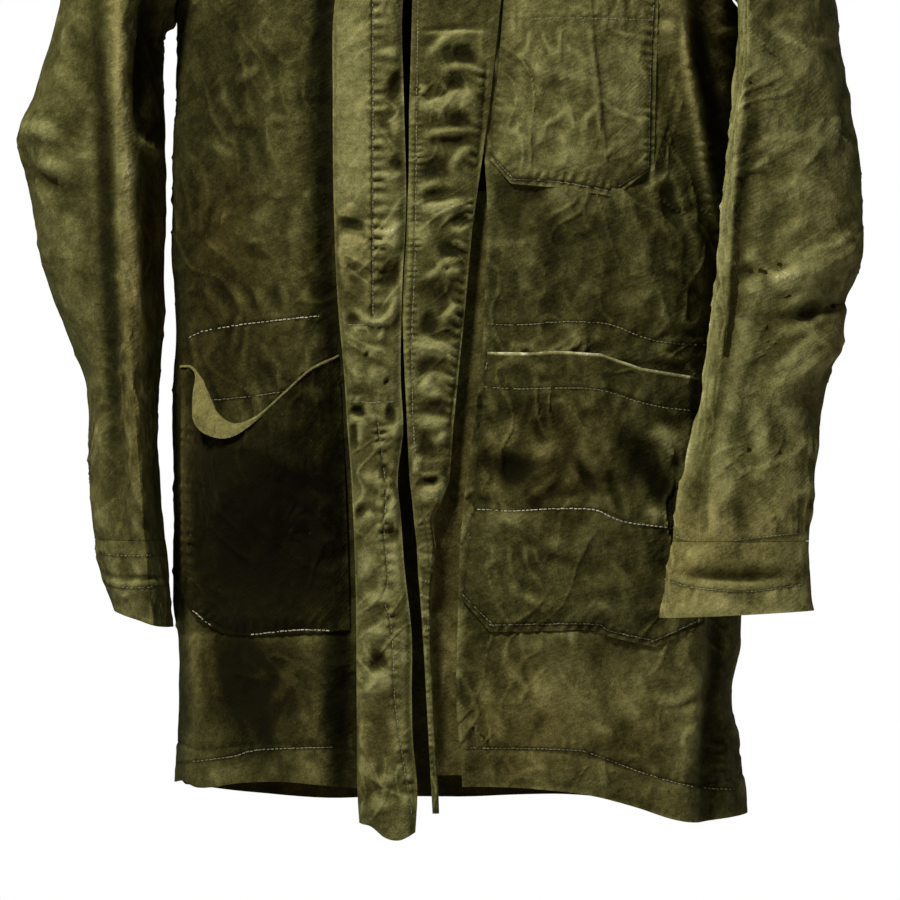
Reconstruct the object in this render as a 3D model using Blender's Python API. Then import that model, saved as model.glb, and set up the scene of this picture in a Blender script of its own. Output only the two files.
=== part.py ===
"""A long military work shirt of olive cotton, hanging open with both sleeves at its sides.

Metres, +Z up. The front faces -Y and the wearer's left side is at +X. The origin is at the neck,
level with the tops of the shoulders, where the shirt is held.
"""

import bmesh
import bpy
import numpy as np
from mathutils import Vector
from mathutils.bvhtree import BVHTree

# Driving dimensions
CLOTH = 0.0020  # wall of one layer of cloth, its seams pressed
SEAM_GAP = 0.0004  # clearance between two pieces at a seam
LAID_ON = 0.0034  # from the middle of a layer to the middle of the layer sewn on it
ON_FACE = 0.0027  # from the face of a layer to the middle of a pocket on it
UNDERARM_Z = -0.250
BODY_ROUNDNESS = 2.5  # 2 is an ellipse, more is squarer
CHEST_ROUNDNESS = 2.4
SHOULDER_ROUNDNESS = 0.6
NECK_HALF = 0.075
NECK_POINT_Z = -0.008
FRONT_NECK_DROP = 0.080
BACK_NECK_DROP = 0.018
SHOULDER_TIP_X = 0.250
SHOULDER_SLOPE = 0.27
SLEEVE_TOP_Z = -0.262
CUFF_SEAM_Z = -0.673
BODY_ROWS = 18  # from the hem to the underarm
ARMHOLE_ROWS = 10  # from the underarm to the shoulder tip
NECK_CORNER_ROW = 6  # the armhole row at which a front's inner edge turns into the neckline
BACK_COLUMNS = 24
STAND_TUCK = 0.009  # how far the right front runs on under its button stand
RIGHT_EDGE_COLUMNS = (0.0, 0.013, 0.027, 0.044)  # from a front's inner edge
RIGHT_FRONT_COLUMNS = 9  # from there on to the side seam
LEFT_EDGE_COLUMNS = (0.0, 0.010, 0.024)
LEFT_FRONT_COLUMNS = 11
FULL_TURN = 2 * np.pi


def table(names, *rows):
    """A short table, kept as one array for each named column."""
    return {name: np.array(column, float) for name, column in zip(names.split(), zip(*rows))}


# The body's rings: half width on the wearer's right and left, depth to the front and the back
TORSO = table(
    "z right left front back",
    (-0.920, 0.2320, 0.2420, 0.136, 0.146),
    (-0.873, 0.2300, 0.2380, 0.136, 0.145),
    (-0.840, 0.2270, 0.2335, 0.135, 0.144),
    (-0.800, 0.2255, 0.2275, 0.134, 0.143),
    (-0.757, 0.2240, 0.2350, 0.133, 0.141),
    (-0.735, 0.2290, 0.2360, 0.132, 0.140),
    (-0.690, 0.2315, 0.2340, 0.131, 0.137),
    (-0.600, 0.2325, 0.2280, 0.129, 0.131),
    (-0.545, 0.2325, 0.2265, 0.128, 0.129),
    (-0.510, 0.2300, 0.2250, 0.127, 0.127),
    (-0.450, 0.2330, 0.2245, 0.126, 0.126),
    (-0.400, 0.2335, 0.2255, 0.124, 0.125),
    (-0.350, 0.2330, 0.2300, 0.122, 0.124),
    (-0.300, 0.2295, 0.2350, 0.120, 0.123),
    (-0.250, 0.2290, 0.2370, 0.118, 0.122),
    (-0.150, 0.2360, 0.2380, 0.114, 0.119),
    (-0.050, 0.2500, 0.2500, 0.112, 0.117),
)

# Where the side seams run, in degrees round from centre front
SIDE_SEAM = table(
    "z right left",
    (-0.920, -97.0, 76.0),
    (-0.750, -96.0, 77.0),
    (-0.500, -94.0, 81.0),
    (-0.250, -92.0, 86.0),
)

# The armhole's front and back edges, in degrees from centre front and from centre back
ARMHOLE = table(
    "rise front back",
    (0.00, 90.0, 90.0),
    (0.10, 80.0, 80.0),
    (0.30, 71.0, 71.0),
    (0.55, 68.0, 68.0),
    (0.80, 73.0, 72.0),
    (1.00, 90.0, 90.0),
)

# The right button stand: its outer fold, its front edge
STAND = table(
    "z fold edge",
    (-0.912, -0.0750, -0.0320),
    (-0.872, -0.0776, -0.0300),
    (-0.832, -0.0779, -0.0336),
    (-0.792, -0.0782, -0.0345),
    (-0.752, -0.0784, -0.0344),
    (-0.688, -0.0796, -0.0408),
    (-0.656, -0.0808, -0.0430),
    (-0.624, -0.0824, -0.0456),
    (-0.584, -0.0856, -0.0415),
    (-0.544, -0.0880, -0.0432),
    (-0.480, -0.0936, -0.0424),
    (-0.400, -0.0968, -0.0390),
    (-0.320, -0.0976, -0.0408),
    (-0.240, -0.0960, -0.0416),
    (-0.160, -0.0780, -0.0290),
    (-0.080, -0.0530, -0.0150),
)

# The left fly: its free edge, and the seam that holds it, below which it is a narrow raw edge
FLY = table(
    "z edge seam",
    (-0.890, -0.0175, -0.0130),
    (-0.872, -0.0185, -0.0136),
    (-0.816, -0.0215, -0.0168),
    (-0.768, -0.0240, -0.0190),
    (-0.716, -0.0275, -0.0200),
    (-0.700, -0.0290, -0.0175),
    (-0.676, -0.0302, -0.0155),
    (-0.656, -0.0325, -0.0185),
    (-0.640, -0.0340, -0.0100),
    (-0.624, -0.0360, -0.0045),
    (-0.584, -0.0380, -0.0016),
    (-0.528, -0.0406, 0.0040),
    (-0.488, -0.0420, 0.0080),
    (-0.424, -0.0386, 0.0136),
    (-0.376, -0.0368, 0.0205),
    (-0.328, -0.0366, 0.0272),
    (-0.240, -0.0340, 0.0368),
    (-0.160, -0.0220, 0.0396),
    (-0.080, -0.0070, 0.0414),
)

# The left front's inner edge: along the fly's seam, then a pressed fold that stands off it
LEFT_EDGE = table(
    "z x",
    (-0.900, 0.0080),
    (-0.864, 0.0056),
    (-0.800, 0.0010),
    (-0.728, 0.0024),
    (-0.688, 0.0035),
    (-0.640, 0.0072),
    (-0.568, 0.0168),
    (-0.504, 0.0224),
    (-0.440, 0.0250),
    (-0.400, 0.0256),
    (-0.360, 0.0238),
    (-0.328, 0.0258),
    (-0.240, 0.0350),
    (-0.160, 0.0380),
    (-0.080, 0.0400),
)

# The layer behind the left front's edge
FACING_TOP_Z = -0.392
FACING_END_Z = -0.860
FACING_LEFT = table(
    "z x",
    (-0.860, -0.0170),
    (-0.760, -0.0215),
    (-0.700, -0.0210),
    (-0.660, -0.0210),
    (-0.624, -0.0150),
    (-0.528, -0.0060),
    (-0.392, 0.0080),
)

# Hems, seen from the front and from the back
FRONT_HEM = table(
    "x z",
    (-0.235, -0.876),
    (-0.222, -0.870),
    (-0.204, -0.8736),
    (-0.172, -0.868),
    (-0.140, -0.8664),
    (-0.092, -0.8696),
    (-0.070, -0.872),
    (0.008, -0.869),
    (0.060, -0.8705),
    (0.116, -0.8784),
    (0.148, -0.8875),
    (0.180, -0.8990),
    (0.200, -0.9007),
    (0.218, -0.8990),
    (0.240, -0.8980),
)
BACK_HEM = table(
    "x z",
    (-0.235, -0.877),
    (-0.200, -0.886),
    (-0.150, -0.894),
    (-0.050, -0.897),
    (0.080, -0.895),
    (0.160, -0.897),
    (0.240, -0.898),
)
STAND_HEM = table(
    "across z",
    (0.00, -0.898),
    (0.20, -0.900),
    (0.45, -0.909),
    (0.75, -0.911),
    (1.00, -0.905),
)

# The large folds of the fronts, as soft ridges (high above 0) and troughs (below 0)
FRONT_FOLDS = table(
    "x0 z0 x1 z1 wide high",
    (-0.205, -0.300, -0.196, -0.520, 0.020, -0.0040),
    (-0.150, -0.270, -0.132, -0.510, 0.022, 0.0050),
    (-0.176, -0.240, -0.168, -0.420, 0.015, -0.0030),
    (-0.212, -0.770, -0.196, -0.900, 0.016, 0.0060),
    (-0.188, -0.752, -0.158, -0.850, 0.017, -0.0080),
    (-0.112, -0.790, -0.104, -0.900, 0.016, 0.0050),
    (0.170, -0.200, 0.184, -0.300, 0.012, 0.0050),
    (0.184, -0.290, 0.206, -0.390, 0.012, 0.0055),
    (0.200, -0.240, 0.216, -0.360, 0.011, -0.0070),
    (0.060, -0.410, 0.120, -0.500, 0.022, -0.0035),
    (0.110, -0.380, 0.165, -0.490, 0.020, 0.0035),
    (0.188, -0.750, 0.180, -0.905, 0.015, 0.0070),
    (0.213, -0.760, 0.207, -0.900, 0.010, -0.0080),
    (0.130, -0.780, 0.142, -0.905, 0.018, -0.0050),
    (0.075, -0.770, 0.070, -0.890, 0.022, 0.0040),
)
BACK_FOLDS = table(
    "x0 z0 x1 z1 wide high",
    (-0.168, -0.250, -0.160, -0.890, 0.024, 0.0080),
    (-0.110, -0.380, -0.104, -0.900, 0.026, -0.0090),
    (-0.045, -0.300, -0.052, -0.890, 0.024, 0.0070),
    (0.022, -0.420, 0.016, -0.900, 0.026, -0.0090),
    (0.078, -0.260, 0.092, -0.890, 0.024, 0.0085),
    (0.150, -0.360, 0.146, -0.890, 0.024, -0.0070),
    (0.186, -0.300, 0.184, -0.880, 0.020, 0.0050),
    (-0.120, -0.110, -0.050, -0.190, 0.022, 0.0050),
    (0.120, -0.110, 0.060, -0.200, 0.022, 0.0050),
)
VALLEY_DEEP = 0.0120  # the deep channel beside the button stand
VALLEY_FROM_FOLD = 0.0050
VALLEY_WIDE = 0.0130
VALLEY_INNER_WIDE = 0.0090
EDGE_ROLL = 0.0028  # how far the left front's pressed edge rises
EDGE_ROLL_WIDE = 0.0080

# Crumples of the button stand and gathers of the fly: height, place across and along
STAND_CRUMPLES = table(
    "across z wide tall high",
    (0.30, -0.300, 0.30, 0.030, 0.0020),
    (0.35, -0.425, 0.40, 0.010, 0.0045),
    (0.30, -0.447, 0.45, 0.010, -0.0045),
    (0.70, -0.520, 0.35, 0.014, 0.0035),
    (0.25, -0.560, 0.35, 0.014, -0.0030),
    (0.55, -0.598, 0.40, 0.012, 0.0050),
    (0.30, -0.632, 0.30, 0.013, -0.0040),
    (0.75, -0.655, 0.30, 0.016, 0.0055),
    (0.30, -0.682, 0.35, 0.014, 0.0050),
    (0.60, -0.712, 0.30, 0.013, -0.0045),
    (0.35, -0.745, 0.30, 0.014, 0.0045),
    (0.75, -0.762, 0.25, 0.012, -0.0070),
    (0.30, -0.784, 0.28, 0.012, 0.0060),
    (0.32, -0.763, 0.22, 0.007, -0.0050),
    (0.75, -0.820, 0.28, 0.018, 0.0050),
    (0.35, -0.838, 0.35, 0.016, -0.0055),
    (0.62, -0.862, 0.25, 0.011, 0.0055),
    (0.20, -0.880, 0.25, 0.014, 0.0020),
)
FLY_GATHERS = table(
    "z lean high",
    (-0.268, 0.010, 0.0020),
    (-0.298, 0.016, 0.0034),
    (-0.322, 0.010, 0.0022),
    (-0.346, 0.014, 0.0034),
    (-0.386, 0.018, 0.0036),
    (-0.410, 0.006, 0.0036),
    (-0.432, -0.010, 0.0024),
    (-0.458, 0.018, 0.0034),
    (-0.488, 0.006, 0.0022),
    (-0.514, 0.018, 0.0034),
    (-0.546, 0.006, 0.0034),
    (-0.586, 0.026, 0.0032),
    (-0.632, 0.004, 0.0036),
)
GATHER_TALL = 0.0085
FLY_STRIP_Z = -0.650  # below this the fly is its raw edge alone

STRIP_TOP_Z = -0.090  # above this the opening's two strips follow the neckline
STRIP_BEND_Z = -0.120  # the fly's rows close up from here
STRIP_SETTLES = 0.060  # over this height they settle flat towards the neck
STRIP_TOP_GAP = 0.0006  # clearance under the collar
FLY_END_Z = -0.890
FACING_OFF = 0.0004  # the facing's face over the body's plain wall
FACING_DIP = 0.0080  # how deep it sinks behind the left front's edge
HEM_GUESS_Z = -0.88  # where the rows of a front start to look for its hem
BACK_HEM_GUESS_Z = -0.89
RAY_REACH = 0.06  # how far off a panel a pocket's rays start
POCKET_FOOT_Z = -0.74
SAGGING_BELLY = 0.0040
SAGGING_CLEAR = 0.0006
SLEEVE_BESIDE = 0.0016  # a sleeve starts this far beside the armhole's edge
SLEEVE_OVER = 0.0026  # and, below, this far over it

# Pockets: the corners of each, then its bottom and its mouth
CHEST_POCKET = table("z left right", (-0.397, 0.0285, 0.1595), (-0.228, 0.0400, 0.1630))
CHEST_BOTTOM = table(
    "x z",
    (0.0268, -0.366),
    (0.0448, -0.3864),
    (0.0840, -0.3896),
    (0.1264, -0.3968),
    (0.1595, -0.3720),
)
CHEST_MOUTH = table("x z", (0.030, -0.228), (0.170, -0.228))
LEFT_POCKET = table("z left right", (-0.750, 0.0060, 0.1984), (-0.522, 0.0260, 0.1944))
LEFT_POCKET_BOTTOM = table(
    "x z",
    (0.0060, -0.720),
    (0.0280, -0.7456),
    (0.1080, -0.7440),
    (0.1240, -0.7496),
    (0.1600, -0.7584),
    (0.1984, -0.7400),
)
LEFT_POCKET_MOUTH = table(
    "x z",
    (0.022, -0.5216),
    (0.060, -0.5224),
    (0.080, -0.5208),
    (0.116, -0.5232),
    (0.148, -0.5344),
    (0.195, -0.5416),
)
RIGHT_POCKET_BOTTOM = table(
    "across z",
    (0.00, -0.712),
    (0.16, -0.736),
    (0.32, -0.7495),
    (0.60, -0.7490),
    (1.00, -0.7440),
)
RIGHT_POCKET_CORNERS = (-0.2215, -0.0860)  # outer and inner x at its bottom
# The right pocket's mouth sags forward in a deep U
SAGGING_MOUTH = table(
    "across x z off",
    (0.00, -0.2225, -0.5328, 0.0000),
    (0.10, -0.2120, -0.5336, 0.0020),
    (0.20, -0.2035, -0.5410, 0.0090),
    (0.30, -0.1990, -0.5580, 0.0190),
    (0.40, -0.1910, -0.5780, 0.0300),
    (0.50, -0.1760, -0.5890, 0.0390),
    (0.60, -0.1600, -0.5900, 0.0420),
    (0.70, -0.1430, -0.5760, 0.0380),
    (0.80, -0.1270, -0.5570, 0.0290),
    (0.90, -0.1110, -0.5370, 0.0160),
    (1.00, -0.0950, -0.5250, 0.0020),
)
POCKET_BELLY = 0.0045  # how far a closed pocket stands off at its middle

# Sleeve sections, on the right sleeve: inner and outer side, front crease, depth to front and back
RIGHT_SLEEVE = table(
    "z inner outer front back crease inner_y",
    (-0.262, -0.2418, -0.3338, -0.088, 0.082, -0.2720, -0.010),
    (-0.310, -0.2400, -0.3474, -0.090, 0.072, -0.2730, -0.012),
    (-0.344, -0.2382, -0.3606, -0.092, 0.064, -0.2735, -0.016),
    (-0.360, -0.2380, -0.3586, -0.093, 0.061, -0.2730, -0.018),
    (-0.377, -0.2379, -0.3536, -0.095, 0.058, -0.2725, -0.020),
    (-0.410, -0.2381, -0.3458, -0.098, 0.051, -0.2710, -0.023),
    (-0.443, -0.2384, -0.3396, -0.100, 0.046, -0.2690, -0.026),
    (-0.492, -0.2394, -0.3228, -0.106, 0.040, -0.2640, -0.030),
    (-0.559, -0.2428, -0.2995, -0.112, 0.034, -0.2580, -0.036),
    (-0.608, -0.2433, -0.2991, -0.117, 0.028, -0.2540, -0.042),
    (-0.658, -0.2387, -0.2947, -0.121, 0.022, -0.2500, -0.048),
    (-0.691, -0.2351, -0.2911, -0.123, 0.018, -0.2470, -0.052),
    (-0.712, -0.2330, -0.2850, -0.124, 0.016, -0.2450, -0.054),
    (-0.731, -0.2311, -0.2773, -0.125, 0.014, -0.2425, -0.055),
    (-0.744, -0.2298, -0.2725, -0.126, 0.012, -0.2410, -0.056),
)
LEFT_SLEEVE = table(
    "z inner outer front back crease inner_y",
    (-0.262, 0.2310, 0.3184, -0.088, 0.080, 0.2390, -0.070),
    (-0.313, 0.2267, 0.3256, -0.094, 0.066, 0.2330, -0.078),
    (-0.361, 0.2208, 0.3328, -0.098, 0.054, 0.2272, -0.083),
    (-0.411, 0.2165, 0.3345, -0.106, 0.040, 0.2230, -0.090),
    (-0.452, 0.2130, 0.3316, -0.113, 0.026, 0.2200, -0.096),
    (-0.477, 0.2110, 0.3251, -0.119, 0.016, 0.2190, -0.102),
    (-0.514, 0.2053, 0.3129, -0.129, -0.002, 0.2150, -0.111),
    (-0.560, 0.1976, 0.2979, -0.141, -0.026, 0.2080, -0.122),
    (-0.600, 0.1877, 0.2908, -0.151, -0.052, 0.2040, -0.133),
    (-0.640, 0.1773, 0.2870, -0.161, -0.078, 0.2050, -0.142),
    (-0.672, 0.1737, 0.2830, -0.167, -0.092, 0.2060, -0.147),
    (-0.696, 0.1685, 0.2838, -0.172, -0.100, 0.2050, -0.150),
    (-0.734, 0.1626, 0.2867, -0.178, -0.110, 0.2040, -0.154),
)
SLEEVE_COLUMNS = 4 * ARMHOLE_ROWS // 2
SLEEVE_ROWS = 17
CAP_STEPS = (0.0, 0.18, 0.40, 0.64, 0.84)
# How round each quarter of a section is, from its inner side by way of its front crease
RIGHT_BULGES = (0.55, 0.60, 0.90, 0.80)
LEFT_BULGES = (0.60, 0.62, 0.90, 0.20)
RIGHT_LEAN = 0.27  # how far each upper sleeve slants outwards
LEFT_LEAN = 0.08
LEFT_TURNED = -2  # the left sleeve is turned forward by two of its columns
# A sleeve's large folds: place round it in quarters from its inner side, by way of the front
RIGHT_SLEEVE_FOLDS = table(
    "around0 z0 around1 z1 wide high",
    (1.35, -0.262, 1.30, -0.600, 0.16, -0.0060),
    (1.80, -0.330, 1.45, -0.360, 0.20, 0.0040),
    (1.75, -0.372, 1.40, -0.400, 0.18, -0.0040),
    (2.60, -0.330, 2.30, -0.380, 0.25, -0.0050),
    (3.10, -0.400, 2.80, -0.460, 0.25, 0.0040),
)
LEFT_SLEEVE_FOLDS = table(
    "around0 z0 around1 z1 wide high",
    (1.22, -0.262, 1.28, -0.600, 0.12, -0.0050),
    (1.70, -0.442, 1.35, -0.462, 0.22, 0.0060),
    (1.80, -0.482, 1.50, -0.492, 0.20, -0.0060),
    (1.85, -0.520, 1.55, -0.540, 0.20, 0.0040),
    (2.50, -0.430, 2.10, -0.480, 0.25, -0.0050),
    (3.00, -0.360, 2.70, -0.420, 0.25, 0.0040),
)
# A cuff's end: its height at the inner and at the outer side
RIGHT_CUFF_END = (-0.7440, -0.7310)
LEFT_CUFF_END = (-0.7335, -0.7280)
CUFF_STEPS = (0.0, 0.30, 0.58, 1.0)

# Collar: from its left end round the neck to its right end
LEFT_NECK_X = 0.040  # where the left front's inner edge meets the neckline
RIGHT_NECK_X = -0.044
COLLAR_END_X = (0.014, -0.020)  # over the middle of the fly and of the button stand
COLLAR_FRONT_STEPS = 4
COLLAR_BACK_STEPS = 8
STAND_PROFILE = table(  # out from the neckline, up from it
    "out up",
    (-0.0004, 0.0022),
    (-0.0030, 0.0170),
    (-0.0025, 0.0300),
    (0.0015, 0.0345),
    (0.0065, 0.0330),
)
FALL_HALF = 0.118
FALL_FRONT_DROP = 0.118
FALL_BACK_DROP = 0.050
FALL_OFF = 0.0090
FALL_OFF_FRONT = 0.0140  # over the button stand and the fly
FALL_POINT = 0.026  # how much longer the fall is at its front points

CLOTH_COLOUR = (0.045, 0.043, 0.013, 1.0)
STRIP_COLOUR = (0.085, 0.082, 0.030, 1.0)
POCKET_COLOUR = (0.055, 0.052, 0.017, 1.0)
CLOTH_ROUGHNESS = 0.85


def read(rows, name, at, key="z", smooth=True):
    """A table's column at the given places, on a smooth or straight line through its rows."""
    order = np.argsort(rows[key])
    knots = rows[key][order]
    values = rows[name][order]
    at = np.clip(at, knots[0], knots[-1])
    if not smooth or len(knots) < 3:
        return np.interp(at, knots, values)
    slopes = np.gradient(values, knots)
    low = np.clip(np.searchsorted(knots, at) - 1, 0, len(knots) - 2)
    span = knots[low + 1] - knots[low]
    t = (at - knots[low]) / span
    start = (1 + 2 * t) * (1 - t) ** 2 * values[low] + t * (1 - t) ** 2 * span * slopes[low]
    end = t * t * (3 - 2 * t) * values[low + 1] - t * t * (1 - t) * span * slopes[low + 1]
    return start + end


def unit(vectors):
    return vectors / np.linalg.norm(vectors, axis=-1, keepdims=True)


def ease(t):
    """0 to 1, level at both ends."""
    t = np.clip(t, 0, 1)
    return t * t * (3 - 2 * t)


# --- the body's wall ---------------------------------------------------------------------------


def shoulder_z(x):
    return NECK_POINT_Z - SHOULDER_SLOPE * (np.abs(x) - NECK_HALF)


def half_width(x, z):
    return np.where(x < 0, read(TORSO, "right", z), read(TORSO, "left", z))


def torso(turn, z):
    """The plain wall of the body, round from centre front towards the wearer's left."""
    across = np.sin(turn)
    along = np.cos(turn)
    depth = np.where(along > 0, read(TORSO, "front", z), read(TORSO, "back", z))
    out = np.abs(across / half_width(across, z)) ** BODY_ROUNDNESS
    out = (out + np.abs(along / depth) ** BODY_ROUNDNESS) ** (-1 / BODY_ROUNDNESS)
    x = out * across
    rise = np.clip((z - UNDERARM_Z) / (shoulder_z(x) - UNDERARM_Z), 0, 1)
    closing = (1 - rise**CHEST_ROUNDNESS) ** SHOULDER_ROUNDNESS
    return np.stack([x, -out * along * closing, z + 0 * x], axis=-1)


def turn_at(x, z, side="front"):
    """How far round the body a point of its front or back lies."""
    share = np.clip(np.abs(x / half_width(x, z)), 0, 1)
    y = read(TORSO, side, z) * (1 - share**BODY_ROUNDNESS) ** (1 / BODY_ROUNDNESS)
    if side == "front":
        return np.arctan2(x, y)
    return np.arctan2(x, -y) % FULL_TURN


def torso_normal(turn, z):
    step = 0.002
    round_it = torso(turn + step, z) - torso(turn - step, z)
    z_low = np.minimum(z - step, shoulder_z(torso(turn, z)[..., 0]) - step)
    up = torso(turn, z_low + 2 * step) - torso(turn, z_low)
    return unit(np.cross(round_it, up))


RING_POINTS = 1081  # enough to measure along the cloth
RING_Z = -0.5
RING_TURNS = np.linspace(-1.25 * np.pi, 1.75 * np.pi, RING_POINTS)
RING = torso(RING_TURNS, np.full(RING_POINTS, RING_Z))
RING_LENGTHS = np.concatenate([[0], np.cumsum(np.linalg.norm(np.diff(RING, axis=0), axis=1))])


def arc_of(turn):
    return np.interp(turn, RING_TURNS, RING_LENGTHS)


def turn_of(arc):
    return np.interp(arc, RING_LENGTHS, RING_TURNS)


def folds(rows, x, z):
    """The height of all soft ridges and troughs of a table at each point."""
    high = 0 * x
    for x0, z0, x1, z1, wide, tall in zip(*(rows[k] for k in "x0 z0 x1 z1 wide high".split())):
        run = np.hypot(x1 - x0, z1 - z0)
        along = ((x - x0) * (x1 - x0) + (z - z0) * (z1 - z0)) / run
        off = ((x - x0) * (z1 - z0) - (z - z0) * (x1 - x0)) / run
        beyond = np.maximum(np.maximum(-along, along - run), 0)
        end = 0.35 * run
        high = high + tall * np.exp(-((off / wide) ** 2)) * np.exp(-((beyond / end) ** 2))
    return high


def from_seam(turn, z, side):
    """How far along the cloth a point of a front lies from its side seam or armhole."""
    seam = np.radians(read(SIDE_SEAM, "left" if side > 0 else "right", z))
    rise = (z - UNDERARM_Z) / (shoulder_z(SHOULDER_TIP_X) - UNDERARM_Z)
    hole = side * np.radians(read(ARMHOLE, "front", rise, key="rise"))
    return np.abs(arc_of(np.where(z < UNDERARM_Z, seam, hole)) - arc_of(turn))


def front_lift(turn, z, side):
    """How far a front's cloth stands off the plain wall; side is -1 on the wearer's right."""
    x = torso(turn, z)[..., 0]
    high = folds(FRONT_FOLDS, x, z)
    if side < 0:
        from_middle = read(STAND, "fold", z) - VALLEY_FROM_FOLD - x
        wide = np.where(from_middle > 0, VALLEY_WIDE, VALLEY_INNER_WIDE)
        channel = np.exp(-((from_middle / wide) ** 2))
        high = high - VALLEY_DEEP * channel * ease((-0.110 - z) / 0.080)
    else:
        from_edge = (x - read(LEFT_EDGE, "x", z)) / EDGE_ROLL_WIDE
        high = high + EDGE_ROLL * np.exp(-(from_edge**2)) * ease((-0.370 - z) / 0.040)
    calm = ease(from_seam(turn, z, side) / 0.050) * ease((shoulder_z(x) - z) / 0.060)
    return high * calm


def laid_on(panel, turn, z, off):
    """Points that lie off the face of a panel by the given distances."""
    base = torso(turn, z)
    normal = torso_normal(turn, z)
    mesh = panel.data
    faces = [tuple(face.vertices) for face in mesh.polygons]
    tree = BVHTree.FromPolygons([vertex.co for vertex in mesh.vertices], faces)
    points = base + normal * off[..., None]
    for place in np.ndindex(turn.shape):
        away = Vector(normal[place])
        hit = tree.ray_cast(Vector(base[place]) + away * RAY_REACH, -away)[0]
        if hit is not None:
            points[place] = hit + away * off[place]
    return points


# --- solids ------------------------------------------------------------------------------------


def grid_normals(grid, tube):
    down = np.gradient(grid, axis=0)
    if tube:
        across = (np.roll(grid, -1, axis=1) - np.roll(grid, 1, axis=1)) / 2
    else:
        across = np.gradient(grid, axis=1)
    return unit(np.cross(across, down))


def wall(name, grid, material, tube=False, normals=None, thick=CLOTH):
    """A closed wall of even thickness through a grid of points, an open sheet or a tube."""
    if normals is None:
        normals = grid_normals(grid, tube)
    rows, columns = grid.shape[:2]
    points = np.concatenate([grid + normals * thick / 2, grid - normals * thick / 2])
    number = np.arange(2 * rows * columns).reshape(2, rows, columns)
    if tube:
        number = np.concatenate([number, number[:, :, :1]], axis=2)
    faces = []
    for i in range(number.shape[1] - 1):
        for j in range(number.shape[2] - 1):
            outer = number[0]
            inner = number[1]
            faces.append((outer[i, j], outer[i, j + 1], outer[i + 1, j + 1], outer[i + 1, j]))
            faces.append((inner[i, j], inner[i + 1, j], inner[i + 1, j + 1], inner[i, j + 1]))
    rims = [number[:, 0, :], number[:, -1, ::-1]]
    if not tube:
        rims += [number[:, ::-1, 0], number[:, :, -1]]
    for rim in rims:
        for k in range(rim.shape[1] - 1):
            faces.append((rim[0, k], rim[1, k], rim[1, k + 1], rim[0, k + 1]))
    mesh = bpy.data.meshes.new(name)
    mesh.from_pydata(points.reshape(-1, 3).tolist(), [], [tuple(map(int, f)) for f in faces])
    shape = bmesh.new()
    shape.from_mesh(mesh)
    bmesh.ops.recalc_face_normals(shape, faces=shape.faces)
    shape.to_mesh(mesh)
    shape.free()
    mesh.shade_smooth()
    piece = bpy.data.objects.new(name, mesh)
    piece.data.materials.append(material)
    GARMENT.objects.link(piece)
    return piece


def cloth_material(name, colour):
    material = bpy.data.materials.new(name)
    material.use_nodes = True
    shader = material.node_tree.nodes["Principled BSDF"]
    shader.inputs["Base Color"].default_value = colour
    shader.inputs["Roughness"].default_value = CLOTH_ROUGHNESS
    shader.inputs["Metallic"].default_value = 0.0
    return material


# --- body panels -------------------------------------------------------------------------------


def neckline(angle):
    """A point of the neckline, in radians round from centre front."""
    x = NECK_HALF * np.sin(angle)
    along = np.cos(angle)
    z = NECK_POINT_Z - np.where(along > 0, FRONT_NECK_DROP, BACK_NECK_DROP) * np.abs(along)
    return x, z


def armhole(rise, side, edge):
    """The armhole's edge in turn and height; side is -1 on the wearer's right."""
    seam = read(SIDE_SEAM, "left" if side > 0 else "right", UNDERARM_Z)
    degrees = read(ARMHOLE, edge, rise, key="rise")
    lean = (abs(seam) - 90) * ease(1 - rise / 0.3)
    if edge == "front":
        turn = side * np.radians(degrees + lean)
    else:
        turn = np.pi - side * np.radians(degrees - lean)
    tip_z = shoulder_z(SHOULDER_TIP_X)
    return turn, UNDERARM_Z + (tip_z - UNDERARM_Z) * rise


def blend_patch(low, high, first, last, share):
    """A patch in turn and height between four edges, each an array of (turn, z)."""
    v = np.linspace(0, 1, len(first))[:, None, None]
    u = share[None, :, None]
    sides = (1 - u) * first[:, None] + u * last[:, None]
    ends = (1 - v) * low[None] + v * high[None]
    corners = (1 - v) * ((1 - u) * low[0] + u * low[-1]) + v * ((1 - u) * high[0] + u * high[-1])
    return sides + ends - corners


def pairs(turn, z):
    return np.stack(np.broadcast_arrays(turn, z), axis=-1)


def front_columns(side, z, inner_x, near_edge, spread):
    """The turns of a front's columns at heights z, from its side seam to its inner edge."""
    inner = arc_of(turn_at(inner_x, z))
    seam = np.radians(read(SIDE_SEAM, "left" if side > 0 else "right", z))
    outer = arc_of(seam) - side * SEAM_GAP / 2
    near = inner + side * np.array(near_edge)
    steps = np.linspace(0, 1, spread + 1)[1:]
    rest = near[-1] + (outer - near[-1]) * steps
    return turn_of(np.concatenate([near, rest]))


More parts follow.
